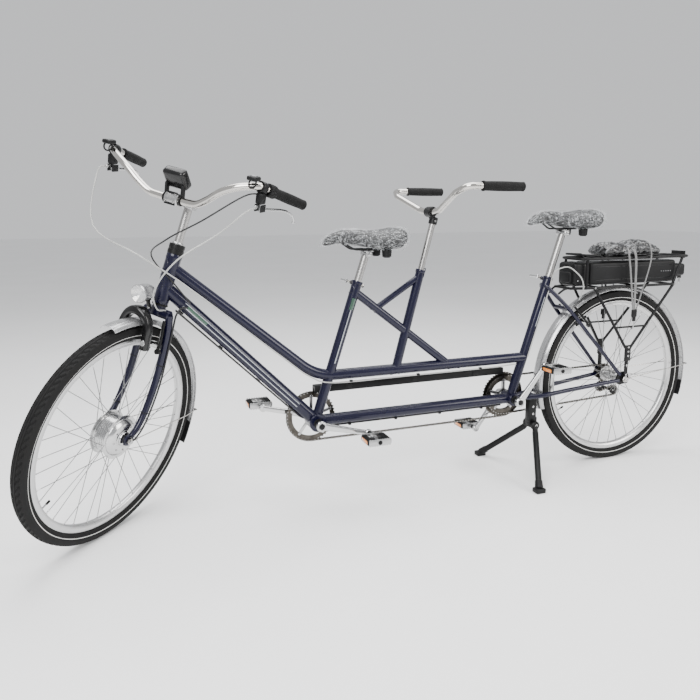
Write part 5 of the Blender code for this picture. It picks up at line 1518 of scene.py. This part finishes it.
def chain_guard():
    """Channel guard over the timing chain's upper run, with its brackets."""
    p = Piece("timing_guard", "frame", "black_plastic")
    top = 0.308 + chain_radius(TIMING_TEETH)
    middle = (FRONT_BB.x + REAR_BB.x) / 2
    section = [(-0.015, -0.0125), (-0.015, 0.0095), (-0.0125, 0.0125), (0.0125, 0.0125), (0.015, 0.0095),
               (0.015, -0.0125)]
    section += [(0.0108, -0.0125), (0.0108, 0.002), (-0.003, 0.002), (-0.003, -0.0125)]
    rings = []
    for x in (-0.389, -0.387, 0.387, 0.389):
        squeeze = 0.94 if abs(x) > 0.388 else 1.0
        corner = Vector((middle + x, TIMING_Y - 0.004, top + 0.013))
        rings.append([corner + Vector((0, y, z)) * squeeze for y, z in section])
    p.rings(rings, BLACK_PLASTIC)
    for x in (-0.26, 0.0, 0.26):
        p.box((middle + x, TIMING_Y - 0.0195, top + 0.012), (0.022, 0.002, 0.02), BLACK_METAL,
              bevel=0.0006)
        p.bolt((middle + x, TIMING_Y + 0.0108, top + 0.014), (0, 1, 0), 0.004, STEEL, 0.002)
    p.done(["chain_guard"])


def tensioner():
    p = Piece("tensioner_body", "tensioner_arm", "black_metal")
    mount = Vector((1.976, 0.0, 0.326))
    plane = DRIVE_Y + 0.0095

    def at(q):
        return Vector((q.x, plane, q.z))

    p.rod(at(mount) - sideways(0.003), at(mount) + sideways(0.0065), 0.0088, BLACK_METAL, 32)
    p.bolt(at(mount) + sideways(0.006), (0, 1, 0), 0.0052, STEEL, 0.001)
    for a, b in ((mount, GUIDE_PULLEY), (GUIDE_PULLEY, TENSION_PULLEY)):
        heading = (at(b) - at(a)).normalized()
        up = Vector((-heading.z, 0, heading.x))
        outline = []
        for centre, first in ((at(b), -math.pi / 2), (at(a), math.pi / 2)):
            for k in range(9):
                t = first + math.pi * k / 8
                outline.append(centre + (heading * math.cos(t) + up * math.sin(t)) * 0.007)
        p.rings([[q + sideways(s * 0.0024) for q in outline] for s in (-1, 1)], BLACK_METAL)
    for centre in (GUIDE_PULLEY, TENSION_PULLEY):
        p.rod(at(centre), at(centre) - sideways(0.0125), 0.0034, STEEL, 20)
        p.bolt(at(centre) + sideways(0.0024), (0, 1, 0), 0.0042, STEEL, 0.0016)
    p.done(["tensioner_arm"])
    for word, centre in (("guide", GUIDE_PULLEY), ("tension", TENSION_PULLEY)):
        p = Piece(f"{word}_jockey", f"{word}_pulley", "black_plastic")
        rings = []
        for r, y in ((0.0043, -0.0034), (0.0135, -0.0034), (None, -0.0012), (None, 0.0012),
                     (0.0135, 0.0034), (0.0043, 0.0034)):
            ring = []
            for k in range(66):
                a = FULL_TURN * k / 66
                tooth = (0.0, 0.8, 1.0, 0.8, 0.0, -0.6)[k % 6]
                ring.append(circle_point(centre + sideways(y), r or 0.0157 + 0.0014 * tooth, a))
            rings.append(ring)
        p.rings(rings, BLACK_PLASTIC, closed=True)
        p.torus(centre + sideways(0.003), (0, 1, 0), 0.0065, 0.0008, STEEL, 30, 8)
        p.done([f"{word}_pulley"])


# ---- soft parts ----------------------------------------------------------------------------
def settle(made, voxel, cap, pin):
    """Swells a closed form with a short cloth simulation, then keeps the result as plain mesh.

    pin(place) tells which points are held, and no point moves further than cap.
    """
    step = made.modifiers.new("remesh", "REMESH")
    step.mode, step.voxel_size, step.use_smooth_shade = "VOXEL", voxel, True
    graph = bpy.context.evaluated_depsgraph_get()
    mesh = bpy.data.meshes.new_from_object(made.evaluated_get(graph))
    made.modifiers.clear()
    made.data = mesh
    start = [v.co.copy() for v in mesh.vertices]
    cloth = made.modifiers.new("cloth", "CLOTH")
    settings = cloth.settings
    settings.quality, settings.mass = 6, 0.3
    settings.tension_stiffness = settings.compression_stiffness = 18
    settings.bending_stiffness = 1.2
    settings.use_pressure, settings.uniform_pressure_force = True, 4.0
    settings.effector_weights.gravity = 0
    cloth.collision_settings.use_collision = False
    group = made.vertex_groups.new(name="held")
    group.add([v.index for v in mesh.vertices if pin(v.co - SHIFT)], 1.0, "REPLACE")
    settings.vertex_group_mass = "held"
    scene = bpy.context.scene
    for number in range(1, 21):
        scene.frame_set(number)
    graph = bpy.context.evaluated_depsgraph_get()
    settled = bpy.data.meshes.new_from_object(made.evaluated_get(graph))
    made.modifiers.clear()
    for v, before in zip(settled.vertices, start):
        move = v.co - before
        if move.length > cap:
            v.co = before + move.normalized() * cap
    made.data = settled
    made.vertex_groups.clear()
    scene.frame_set(1)


def refine(made, change):
    """One subdivision, then a last shaping move: change(place, normal) gives each point's offset."""
    step = made.modifiers.new("fine", "SUBSURF")
    step.levels = step.render_levels = 1
    graph = bpy.context.evaluated_depsgraph_get()
    mesh = bpy.data.meshes.new_from_object(made.evaluated_get(graph))
    made.modifiers.clear()
    made.data = mesh
    moved = [change(v.co - SHIFT, v.normal) for v in mesh.vertices]
    for v, offset in zip(mesh.vertices, moved):
        v.co += offset
    mesh.shade_smooth()


SADDLE_STATIONS = (  # along the length, half width, top above the nose, depth
    (0.00, 0.016, -0.022, 0.014),
    (0.05, 0.022, -0.004, 0.034),
    (0.12, 0.0245, 0.01, 0.044),
    (0.25, 0.028, 0.022, 0.052),
    (0.4, 0.038, 0.022, 0.06),
    (0.55, 0.056, 0.018, 0.062),
    (0.7, 0.084, 0.017, 0.068),
    (0.82, 0.099, 0.022, 0.076),
    (0.92, 0.1025, 0.028, 0.08),
    (1.00, 0.088, 0.026, 0.062),
)


def saddle_rings(nose, length, width, grow, sides=28):
    """Cross sections from nose to tail; grow moves the whole surface outwards."""
    rings = []
    last = len(SADDLE_STATIONS) - 1
    for k, (t, half, top, depth) in enumerate(SADDLE_STATIONS):
        half = half * (width / 0.205 if t > 0.6 else 1.0) + grow
        x = nose.x + t * length + (-grow if k == 0 else grow if k == last else 0)
        middle = nose.z + top - depth / 2
        ring = []
        for j in range(sides):
            a = FULL_TURN * j / sides
            c, s = math.cos(a), math.sin(a)
            y = half * squared(c, 0.8)
            z = (depth / 2 + grow) * squared(s, 0.85 if s > 0 else 0.6)
            dip = 0.006 * math.exp(-((y / 0.018) ** 2)) * (t - 0.2) if s > 0 and t > 0.2 else 0
            ring.append(Vector((x, y, middle + z - dip)))
        rings.append(ring)
    return rings


def saddle(word, tube_top, up, rise, width):
    """Seat post with its clamp, padded saddle on wire rails, rubber springs and a crinkled film cover."""
    head = tube_top + up * rise
    body = f"{word}_seat"
    p = Piece(f"{word}_post", body, "alloy")
    p.rod(tube_top - up * 0.16, head, 0.0135, POST_METAL, 40)
    clamp = head + Vector((0.004, 0, 0.006))
    p.cross_bar(clamp, 0.028, 0.012, ALLOY, 36, chamfer=0.0015)
    for side in (-1, 1):
        p.nut(clamp + sideways(side * 0.0275), (0, side, 0), 0.0088, 0.004, STEEL)
        p.box(clamp + Vector((0, side * 0.021, 0.0105)), (0.034, 0.01, 0.0042), STEEL, bevel=0.001)
    for k in range(7):
        p.torus(tube_top + up * (0.01 + 0.01 * k), up, 0.01352, 0.00022, BLACK_METAL, 40, 6)
    p.done([f"{word}_seat_post"])

    rail_z = head.z + 0.006 + 0.0125 + 0.0035 + 0.0004
    nose = Vector((head.x - 0.158, 0, rail_z + 0.048))
    length = 0.285
    p = Piece(f"{word}_saddle_pad", body, "saddle_cover")
    p.rings(saddle_rings(nose, length, width, -0.0035), VINYL)
    pad = p.done([f"{word}_saddle"], angle=180)
    settle(pad, 0.005, 0.004, lambda q: q.z < nose.z - 0.02)

    def seam(q, normal):
        """A stitched line sunk round the top edge."""
        t = (q.x - nose.x) / length
        sunk = 0.0011 * math.exp(-(((q.z - (nose.z - 0.01 + 0.012 * t)) / 0.0016) ** 2))
        return -normal * sunk

    refine(pad, seam)
    pad.data.materials.clear()
    pad.data.materials.append(VINYL)
    rails(word, body, head, nose, rail_z)
    film(word, body, nose, length, width)


def rails(word, body, head, nose, rail_z):
    """Wire rails, and two rubber-sleeved springs under the tail."""
    p = Piece(f"{word}_saddle_rails", body, "black_metal")
    for side in (-1, 1):
        corners = [
            (nose.x + 0.05, side * 0.01, nose.z - 0.01),
            (head.x - 0.048, side * 0.021, rail_z),
            (head.x + 0.06, side * 0.021, rail_z),
            (nose.x + 0.245, side * 0.045, nose.z - 0.02),
        ]
        p.sweep(rounded(corners, 0.04, 10), 0.0034, BLACK_METAL, 16)
        base = Vector((nose.x + 0.218, side * 0.048, nose.z - 0.076))
        p.rod(base, base + upward(0.03), 0.015, BLACK_PLASTIC, 28, 0.0175, chamfer=0.004)
        for k in range(4):
            p.torus(base + upward(0.005 + 0.006 * k), (0, 0, 1), 0.0155 + 0.0005 * k, 0.0012, BLACK_PLASTIC,
                    28, 8)
    p.done()


def film(word, body, nose, length, width):
    """Clear bag pulled over the saddle and left crinkled, open underneath round the post."""
    p = Piece(f"{word}_saddle_film", body, "clear_film")
    rings = saddle_rings(nose, length, width, 0.003, 40)
    for end in (0, -1):
        middle = sum(rings[end], Vector()) / len(rings[end])
        small = [middle.lerp(q, 0.5) + Vector((-0.003 if end == 0 else 0.003, 0, 0)) for q in rings[end]]
        rings.insert(0 if end == 0 else len(rings), small)
    dense = []
    for near, far in zip(rings, rings[1:]):
        for k in range(4):
            dense.append([a.lerp(b, k / 4) for a, b in zip(near, far)])
    dense.append(rings[-1])
    wrapped = []
    for ring in dense:
        under = ring[33:] + ring[:28]
        fine = []
        for a, b in zip(under, under[1:]):
            fine += [a, a.lerp(b, 1 / 3), a.lerp(b, 2 / 3)]
        wrapped.append(fine)
    centre = Vector((nose.x + length / 2, 0, nose.z - 0.03))

    def crinkled(q):
        away = (q - centre).normalized()
        low = max(0.0, min(1.0, (nose.z - 0.008 - q.z) / 0.05))
        ridge = 1 - abs(noise.noise(q * 42 + Vector((3, 1, 7))))
        fine = noise.noise(q * 130)
        return q + away * ((ridge**4 * 0.0052 + fine * 0.0009) * (0.7 + low) + 0.0003)

    p.rings([[crinkled(q) for q in ring] for ring in wrapped], FILM, caps=False, seam=False)
    made = p.done(angle=180)


def seat_lever(word, top, up):
    """Quick-release lever with a curved paddle."""
    forward = Vector((up.z, 0, -up.x))
    bolt = top - up * 0.01 + sideways(0.0195) - forward * 0.0345
    p = Piece(f"{word}_seat_release", f"{word}_seat_lever", "alloy")
    p.rod(bolt - up * 0.007, bolt + up * 0.007, 0.0041, POLISHED, 28)
    path = [bolt, bolt + sideways(0.02) - forward * 0.0012, bolt + sideways(0.047)]
    p.sweep(smooth(path, 6), lambda t: 0.0036 + 0.001 * t, POLISHED, 20, up=forward, flat=0.8)
    p.done([f"{word}_seat_lever"])


# ---- stoker's bar --------------------------------------------------------------------------
def stoker():
    p = Piece("stoker_stem", "stoker_cockpit", "alloy")
    neck = MAST_TOP + UP_MAST * 0.178
    p.rod(MAST_TOP - UP_MAST * 0.15, neck, 0.011, POST_METAL, 36)
    p.rod(neck - UP_MAST * 0.012, neck + UP_MAST * 0.014, 0.0154, BLACK_METAL, 36, chamfer=0.002)
    heading = (STOKER_CLAMP - neck).normalized()
    across = Vector((heading.z, 0, -heading.x))
    sections = ((0.0, 0.0125, 0.0125), (0.4, 0.011, 0.012), (0.75, 0.0125, 0.014), (1.0, 0.016, 0.0185))
    p.tapered(neck, STOKER_CLAMP, sections, BLACK_METAL, 28)
    p.cross_bar(STOKER_CLAMP, 0.02, 0.0188, BLACK_METAL, 40, chamfer=0.003)
    for y in (-0.012, 0.012):
        p.bolt(STOKER_CLAMP + across * 0.0185 + sideways(y), across, 0.0036, STEEL)
    p.bolt(neck + sideways(-0.015), (0, -1, 0), 0.0038, STEEL)
    p.done(["stoker_post"])
    start, end = Vector((1.152, 0.277, 1.108)), Vector((1.3, 0.277, 1.107))

    def half(sign):
        corners = [
            (STOKER_CLAMP.x, 0.03, STOKER_CLAMP.z),
            (STOKER_CLAMP.x - 0.002, 0.075, STOKER_CLAMP.z + 0.006),
            (1.085, 0.225, 1.088),
            (1.1, 0.277, 1.108),
            start,
            end,
        ]
        return rounded([mirrored(q, sign) for q in corners], 0.06, 12)

    p = Piece("stoker_bar", "stoker_cockpit", "chrome")
    p.sweep(half(-1)[::-1] + half(1), BAR_R, CHROME, 28)
    p.done(["stoker_handlebar"])
    for sign, word in ((-1, "left"), (1, "right")):
        p = Piece(f"stoker_{word}_rubber", "stoker_cockpit", "rubber")
        first, last = mirrored(start, sign), mirrored(end, sign)
        along = (last - first).normalized()
        ribbed_grip(p, first, last + along * 0.006, 20)
        p.done([f"stoker_{word}_grip"])


# ---- rack, battery, parcel, stand ----------------------------------------------------------
def rack():
    """Tube rack over the wheel: two legs each side, axle straps, a raised front loop and front struts."""
    tube = 0.0054
    p = Piece("rack_tubes", "frame", "black_metal")
    corners = [(1.735, -1), (1.735, 1), (2.278, 1), (2.278, -1), (1.735, -1), (1.735, 1)]
    top = rounded([(x, RACK_Y * s, RACK_TOP) for x, s in corners], 0.03, 10)[1:-1]
    p.sweep(top, tube, BLACK_METAL, 18, closed=True)
    p.sweep([(1.7, -0.048, RACK_FLOOR), (1.7, 0.048, RACK_FLOOR)], tube, BLACK_METAL, 18)
    for x in (1.85, 1.96, 2.07, 2.18):
        p.cross_bar((x, 0, RACK_TOP), RACK_Y, 0.0039, BLACK_METAL, 18)
    for x in (1.83, 2.02, 2.195):
        p.cross_bar((x, 0, RACK_FLOOR), RACK_Y, 0.0039, BLACK_METAL, 18)
    for side in (-1, 1):
        y = side * RACK_Y
        foot_y = side * 0.0775
        lug = Vector((1.972, foot_y, 0.47))
        floor = [(1.7, side * 0.044, RACK_FLOOR), (1.76, y, RACK_FLOOR), (2.205, y, RACK_FLOOR)]
        p.sweep(rounded(floor, 0.03, 8), tube, BLACK_METAL, 18)
        p.rod((1.76, y, RACK_FLOOR), (1.76, y, RACK_TOP), tube, BLACK_METAL, 18)
        p.rod((2.195, y, RACK_FLOOR), (2.24, y, RACK_TOP), tube, BLACK_METAL, 18)
        for x, knee in ((1.8, 1.954), (2.2, 1.988)):
            leg = [(x, y, RACK_FLOOR), (knee, foot_y, 0.492), lug]
            p.sweep(rounded(leg, 0.03, 8), tube, BLACK_METAL, 18)
            p.bolt((x, y + side * 0.005, RACK_FLOOR), (0, side, 0), 0.0042, STEEL, 0.002)
        p.rod((1.905, side * 0.073, 0.57), (2.052, side * 0.073, 0.57), 0.0039, BLACK_METAL, 18)
        p.box(lug + Vector((-0.001, 0, -0.0065)), (0.0295, 0.0078, 0.0655), BLACK_METAL, bevel=0.0035,
              segments=3)
        p.box((1.969, side * 0.076, 0.388), (0.0175, 0.0048, 0.0915), BLACK_METAL, bevel=0.002)
        for z in (0.488, 0.47, 0.452, 0.412, 0.374):
            upper = z > 0.44
            at = (1.971 if upper else 1.969, side * (0.0814 if upper else 0.0784), z)
            p.bolt(at, (0, side, 0), 0.0042, STEEL, 0.0022)
        strut = [(1.702, side * 0.04, RACK_FLOOR), (1.682, side * 0.034, 0.73),
                 (1.658, side * 0.028, 0.712)]
        p.sweep(smooth(strut, 6), 0.0042, BLACK_METAL, 14)
    p.box((2.2835, 0, 0.85), (0.006, 0.07, 0.03), BLACK_PLASTIC, bevel=0.002)
    p.box((2.287, 0, 0.85), (0.003, 0.062, 0.022), RED, bevel=0.0012)
    raised = [(1.848, -0.052, RACK_TOP), (1.822, -0.052, 0.858), (1.742, -0.052, 0.862),
              (1.742, 0.052, 0.862)]
    raised += [(1.822, 0.052, 0.858), (1.848, 0.052, RACK_TOP)]
    p.sweep(rounded(raised, 0.02, 8), 0.004, BLACK_METAL, 14)
    p.done(["rear_rack"])


def battery():
    """Sliding battery case with ribs and a lock end, and the controller dock in front of it."""
    low, high = RACK_FLOOR + 0.0067, RACK_TOP - 0.014
    middle, tall, length = (low + high) / 2, high - low, 0.434
    front = 1.7875
    p = Piece("battery_case", "battery", "black_plastic")
    centre = Vector((front + 0.0003 + length / 2, 0, middle + 0.001))
    p.box(centre, (length, 0.1036, tall - 0.0024), BLACK_PLASTIC, bevel=0.012, segments=5)
    for y in (-0.052, 0.052):
        for z in (-0.026, 0.026):
            p.box(centre + Vector((0, y * 0.996, z)), (length - 0.05, 0.0012, 0.003), GLOSS_BLACK,
                  bevel=0.0004)
    p.box(centre + upward(tall / 2 - 0.0015), (length - 0.06, 0.06, 0.0016), GLOSS_BLACK, bevel=0.0005)
    end = Vector((front + length + 0.03, 0, middle + 0.002))
    p.box(end, (0.07, 0.0796, 0.0496), BLACK_PLASTIC, bevel=0.01, segments=4)
    face = end + Vector((0.0345, 0.0, 0.004))
    p.rod(face, face + Vector((0.0025, 0, 0)), 0.009, STEEL, 32)
    p.box(face + Vector((0.0027, 0, 0)), (0.0012, 0.0016, 0.009), BLACK_METAL, bevel=0.0002)
    for k in range(5):
        at = face + Vector((0.001, -0.028 + 0.0045 * k, 0))
        p.box(at, (0.002, 0.0022, 0.014), GREY_PLASTIC, bevel=0.0005)
        at = centre + Vector((length / 2 - 0.03 - k * 0.012, -0.0518, 0.0))
        p.bolt(at, (0, -1, 0), 0.002, GREY_PLASTIC, 0.0008)
    p.done(["battery"])

    p = Piece("controller_dock", "frame", "black_plastic")
    p.box((1.7495, 0, middle), (0.0746, 0.1036, tall - 0.0004), BLACK_PLASTIC, bevel=0.014, segments=5)
    p.box((1.721, 0, middle - 0.012), (0.0356, 0.07, 0.0436), BLACK_PLASTIC, bevel=0.008, segments=4)
    for k in range(5):
        p.box((1.728 + 0.009 * k, 0, high - 0.0004), (0.0032, 0.07, 0.0022), GLOSS_BLACK, bevel=0.0006)
    for side in (-1, 1):
        for x in (1.728, 1.77):
            p.bolt((x, side * 0.0516, middle - 0.024), (0, side, 0), 0.0034, STEEL, 0.0016)
    p.done(["battery_dock"])
    keys(face)


def keys(face):
    """Two keys hanging from the battery's lock on a split ring."""
    p = Piece("battery_keys", "battery", "chrome")
    p.box(face + Vector((0.0075, 0, 0.0)), (0.009, 0.0018, 0.017), STEEL, bevel=0.0006)
    ring = face + Vector((0.0112, 0, -0.013))
    p.torus(ring, (0, 1, 0), 0.0095, 0.0008, STEEL, 36, 8)
    for lean, y in ((0.1, -0.002), (-0.16, 0.0022)):
        turn = Matrix.Rotation(lean, 4, "Y")
        top = ring + Vector((0, y, -0.0095))
        bow, blade = (top + turn.to_3x3() @ upward(-z) for z in (0.01, 0.031))
        p.box(bow, (0.02, 0.004, 0.022), BLACK_PLASTIC, turn, bevel=0.004, segments=3)
        p.box(blade, (0.0062, 0.0016, 0.025), STEEL, turn, bevel=0.0006)
    p.done()


PARCEL_X, PARCEL_SIZE = 1.993, Vector((0.285, 0.15, 0.065))
# For each strap, x at the rack's edge and x on top of the parcel.
STRAP_EDGES = ((1.952, 1.963), (1.985, 1.98), (2.063, 2.078))
STRAP_HOOKS = (Vector((1.986, -0.083, 0.632)), Vector((1.981, 0.083, 0.618)))


def parcel():
    """A bundle of folded bags in dark and clear film, squeezed by three elastic straps."""
    floor = RACK_TOP + 0.0059
    size = PARCEL_SIZE
    profile = ((-1.0, 0.3), (-0.92, 0.62), (-0.7, 0.86), (-0.45, 0.8), (-0.22, 0.72), (0.02, 0.8))
    profile += ((0.25, 1.0), (0.52, 0.98), (0.7, 0.8), (0.82, 0.62), (0.94, 0.58), (1.0, 0.32))
    heights = smooth([(t, 0, h) for t, h in profile], 3)
    straps = [top for _, top in STRAP_EDGES]
    p = Piece("wrapped_parcel", "frame", "parcel_film")
    rings = []
    for t, _, tall in heights:
        x = PARCEL_X + t * (size.x / 2 - 0.006)
        narrow = (1 - 0.16 * abs(t) ** 4) * (1 + 0.05 * math.sin(9 * t + 1))
        half_z = (size.z / 2 - 0.006) * tall
        ring = []
        for j in range(36):
            a = FULL_TURN * j / 36
            c, s = math.cos(a), math.sin(a)
            y = (size.y / 2 - 0.008) * narrow * squared(c, 0.7)
            z = half_z * squared(s, 0.75)
            ring.append(Vector((x, y, floor + 0.004 + half_z + z)))
        rings.append(ring)
    p.rings(rings, WRAP)
    bag = p.done(["parcel"], angle=180)
    settle(bag, 0.0055, 0.0045, lambda q: q.z < floor + 0.01)

    def folds(q, normal):
        """Creases that gather towards the straps."""
        squeeze = sum(math.exp(-(((q.x - x) / 0.013) ** 2)) for x in straps)
        high = max(0.0, min(1.0, (q.z - floor - 0.006) / 0.03))
        ridge = (1 - abs(noise.noise(Vector((q.x * 26, q.y * 46, q.z * 46))))) ** 3
        fine = (1 - abs(noise.noise(q * 105))) ** 3
        room = 0.25 + 0.75 * high
        return normal * ((ridge * 0.007 + fine * 0.0028 - 0.0038) * room - 0.005 * squeeze * high)

    refine(bag, folds)
    bag.data.materials.clear()
    bag.data.materials.append(WRAP)
    elastics(floor, size)


def elastics(floor, size):
    """Three flat elastic straps over the parcel, drawn down on both sides to a hook at the cross bar."""
    p = Piece("elastic_straps", "frame", "strap_grey")
    near, far = STRAP_HOOKS
    for number, (edge, top) in enumerate(STRAP_EDGES):
        spread = 0.006 * (number - 1)
        tall = size.z * (0.72, 0.66, 0.98)[number]
        over = []
        for k in range(25):
            t = -1 + k / 12
            arch = (1 - abs(t) ** 3.2) ** 0.55 if abs(t) < 1 else 0.0
            x = top + (edge - top) * abs(t) ** 2
            over.append(Vector((x, t * 0.0755, floor - 0.004 + tall * arch)))
        drop = [near + Vector((spread, 0, 0)), Vector((edge * 0.8 + near.x * 0.2, -0.08, 0.79))]
        rise = [Vector((edge * 0.8 + far.x * 0.2, 0.08, 0.79)), far + Vector((spread, 0, 0))]
        p.sweep(smooth([*drop, *over, *rise], 3), 0.0016, ELASTIC, 14, up=(1, 0, 0),
                flat=(2.6, 3.4, 2.0)[number])
    for hook, side in ((near, -1), (far, 1)):
        p.box(hook + upward(-0.006), (0.026, 0.007, 0.03), BLACK_PLASTIC, bevel=0.003, segments=3)
        p.box(hook + Vector((0.001, 0, -0.028)), (0.016, 0.006, 0.022), BLACK_PLASTIC, bevel=0.0025,
              segments=3)
        path = [hook + Vector((0.001, 0, -0.034)), hook + Vector((0.002, 0, -0.05))]
        path += [Vector((hook.x + 0.002, side * 0.076, 0.5615)), Vector((hook.x + 0.002, side * 0.068,
            0.564))]
        p.sweep(smooth(path, 5), 0.0021, STEEL, 12)
    p.done()


def stand():
    pivot = Vector((1.577, 0.0, 0.19))
    foot_at = Vector((1.474, 0.205, 0.0))
    p = Piece("stand_mount", "frame", "black_metal")
    p.box((1.566, 0, 0.297), (0.036, 0.05, 0.006), BLACK_METAL, bevel=0.0015)
    p.box((1.573, 0, 0.25), (0.034, 0.03, 0.096), BLACK_METAL, bevel=0.004, segments=3)
    p.box((1.577, 0, 0.2), (0.036, 0.0298, 0.04), BLACK_METAL, bevel=0.004, segments=3)
    p.bolt((1.566, 0, 0.3), (0, 0, 1), 0.0062, STEEL, 0.004)
    for z in (0.235, 0.265):
        for side in (-1, 1):
            p.bolt((1.573, side * 0.015, z), (0, side, 0), 0.0045, STEEL, 0.002)
    p.done(["stand_bracket"])
    p = Piece("stand_frame", "stand_legs", "black_metal")
    p.cross_bar(pivot, 0.036, 0.0049, STEEL, 28)
    for side in (-1, 1):
        cheek = pivot + sideways(side * 0.0255)
        foot = mirrored(foot_at, side)
        p.rod(cheek - sideways(side * 0.0095), cheek + sideways(side * 0.008), 0.0178, BLACK_METAL, 44,
              chamfer=0.003)
        p.bolt(cheek + sideways(side * 0.008), (0, side, 0), 0.0068, STEEL, 0.003)
        path = rounded([cheek, cheek + Vector((-0.006, side * 0.012, -0.022)), foot + upward(0.012)], 0.02,
                       8)
        p.sweep(path, lambda t: 0.0108 + 0.0012 * t, BLACK_METAL, 28)
        p.box(foot + upward(0.009), (0.04, 0.034, 0.018), BLACK_PLASTIC, bevel=0.0045, segments=3)
        heading = (path[-1] - path[-2]).normalized()
        p.lathe([(0.0118, 0), (0.014, 0.002), (0.0152, 0.03), (0.014, 0.034)],
                foot + upward(0.012) - heading * 0.036, heading, BLACK_PLASTIC, 32)
    p.done(["stand_legs"])


# ---- the whole bicycle ---------------------------------------------------------------------
camera()
studio()
cables()
frame_tubes()
tyre("front_tread", FRONT_HUB, "front_wheel", "front_tyre", True)
tyre("rear_tread", REAR_HUB, "rear_wheel", "rear_tyre", False)
rim("front_hoop", FRONT_HUB, "front_wheel", "front_rim", True)
rim("rear_hoop", REAR_HUB, "rear_wheel", "rear_rim", False)
front_hub()
rear_hub()
mudguard("front_guard", FRONT_HUB, "fork", "front_mudguard", -20, 97, -8, 0.0645, True, 8)
mudguard("rear_guard", REAR_HUB, "frame", "rear_mudguard", -12, 196, 4, 0.0705, False, 6)
fork()
stem_and_bar()
controls()
display()
head_lamp()
ring_lock()
brakes()
timing = [(FRONT_BB, chain_radius(TIMING_TEETH), -1), (REAR_BB, chain_radius(TIMING_TEETH), -1)]
drive = [(REAR_BB, chain_radius(DRIVE_TEETH), -1), (REAR_HUB, chain_radius(SPROCKET_TEETH), -1)]
drive += [(GUIDE_PULLEY, 0.0205, 1), (TENSION_PULLEY, 0.0205, -1)]
chain("timing_links", "timing_chain", timing, TIMING_Y)
chain("drive_links", "drive_chain", drive, DRIVE_Y)
crankset("front", FRONT_BB, FRONT_CRANK_ANGLE, [(TIMING_Y, TIMING_TEETH)])
crankset("rear", REAR_BB, REAR_CRANK_ANGLE, [(TIMING_Y, TIMING_TEETH), (DRIVE_Y, DRIVE_TEETH)])
chain_guard()
tensioner()
saddle("front", FRONT_SEAT_TOP, UP_FRONT, 0.092, 0.205)
saddle("rear", REAR_SEAT_TOP, UP_REAR, 0.172, 0.215)
seat_lever("front", FRONT_SEAT_TOP, UP_FRONT)
seat_lever("rear", REAR_SEAT_TOP, UP_REAR)
stoker()
rack()
battery()
parcel()
stand()
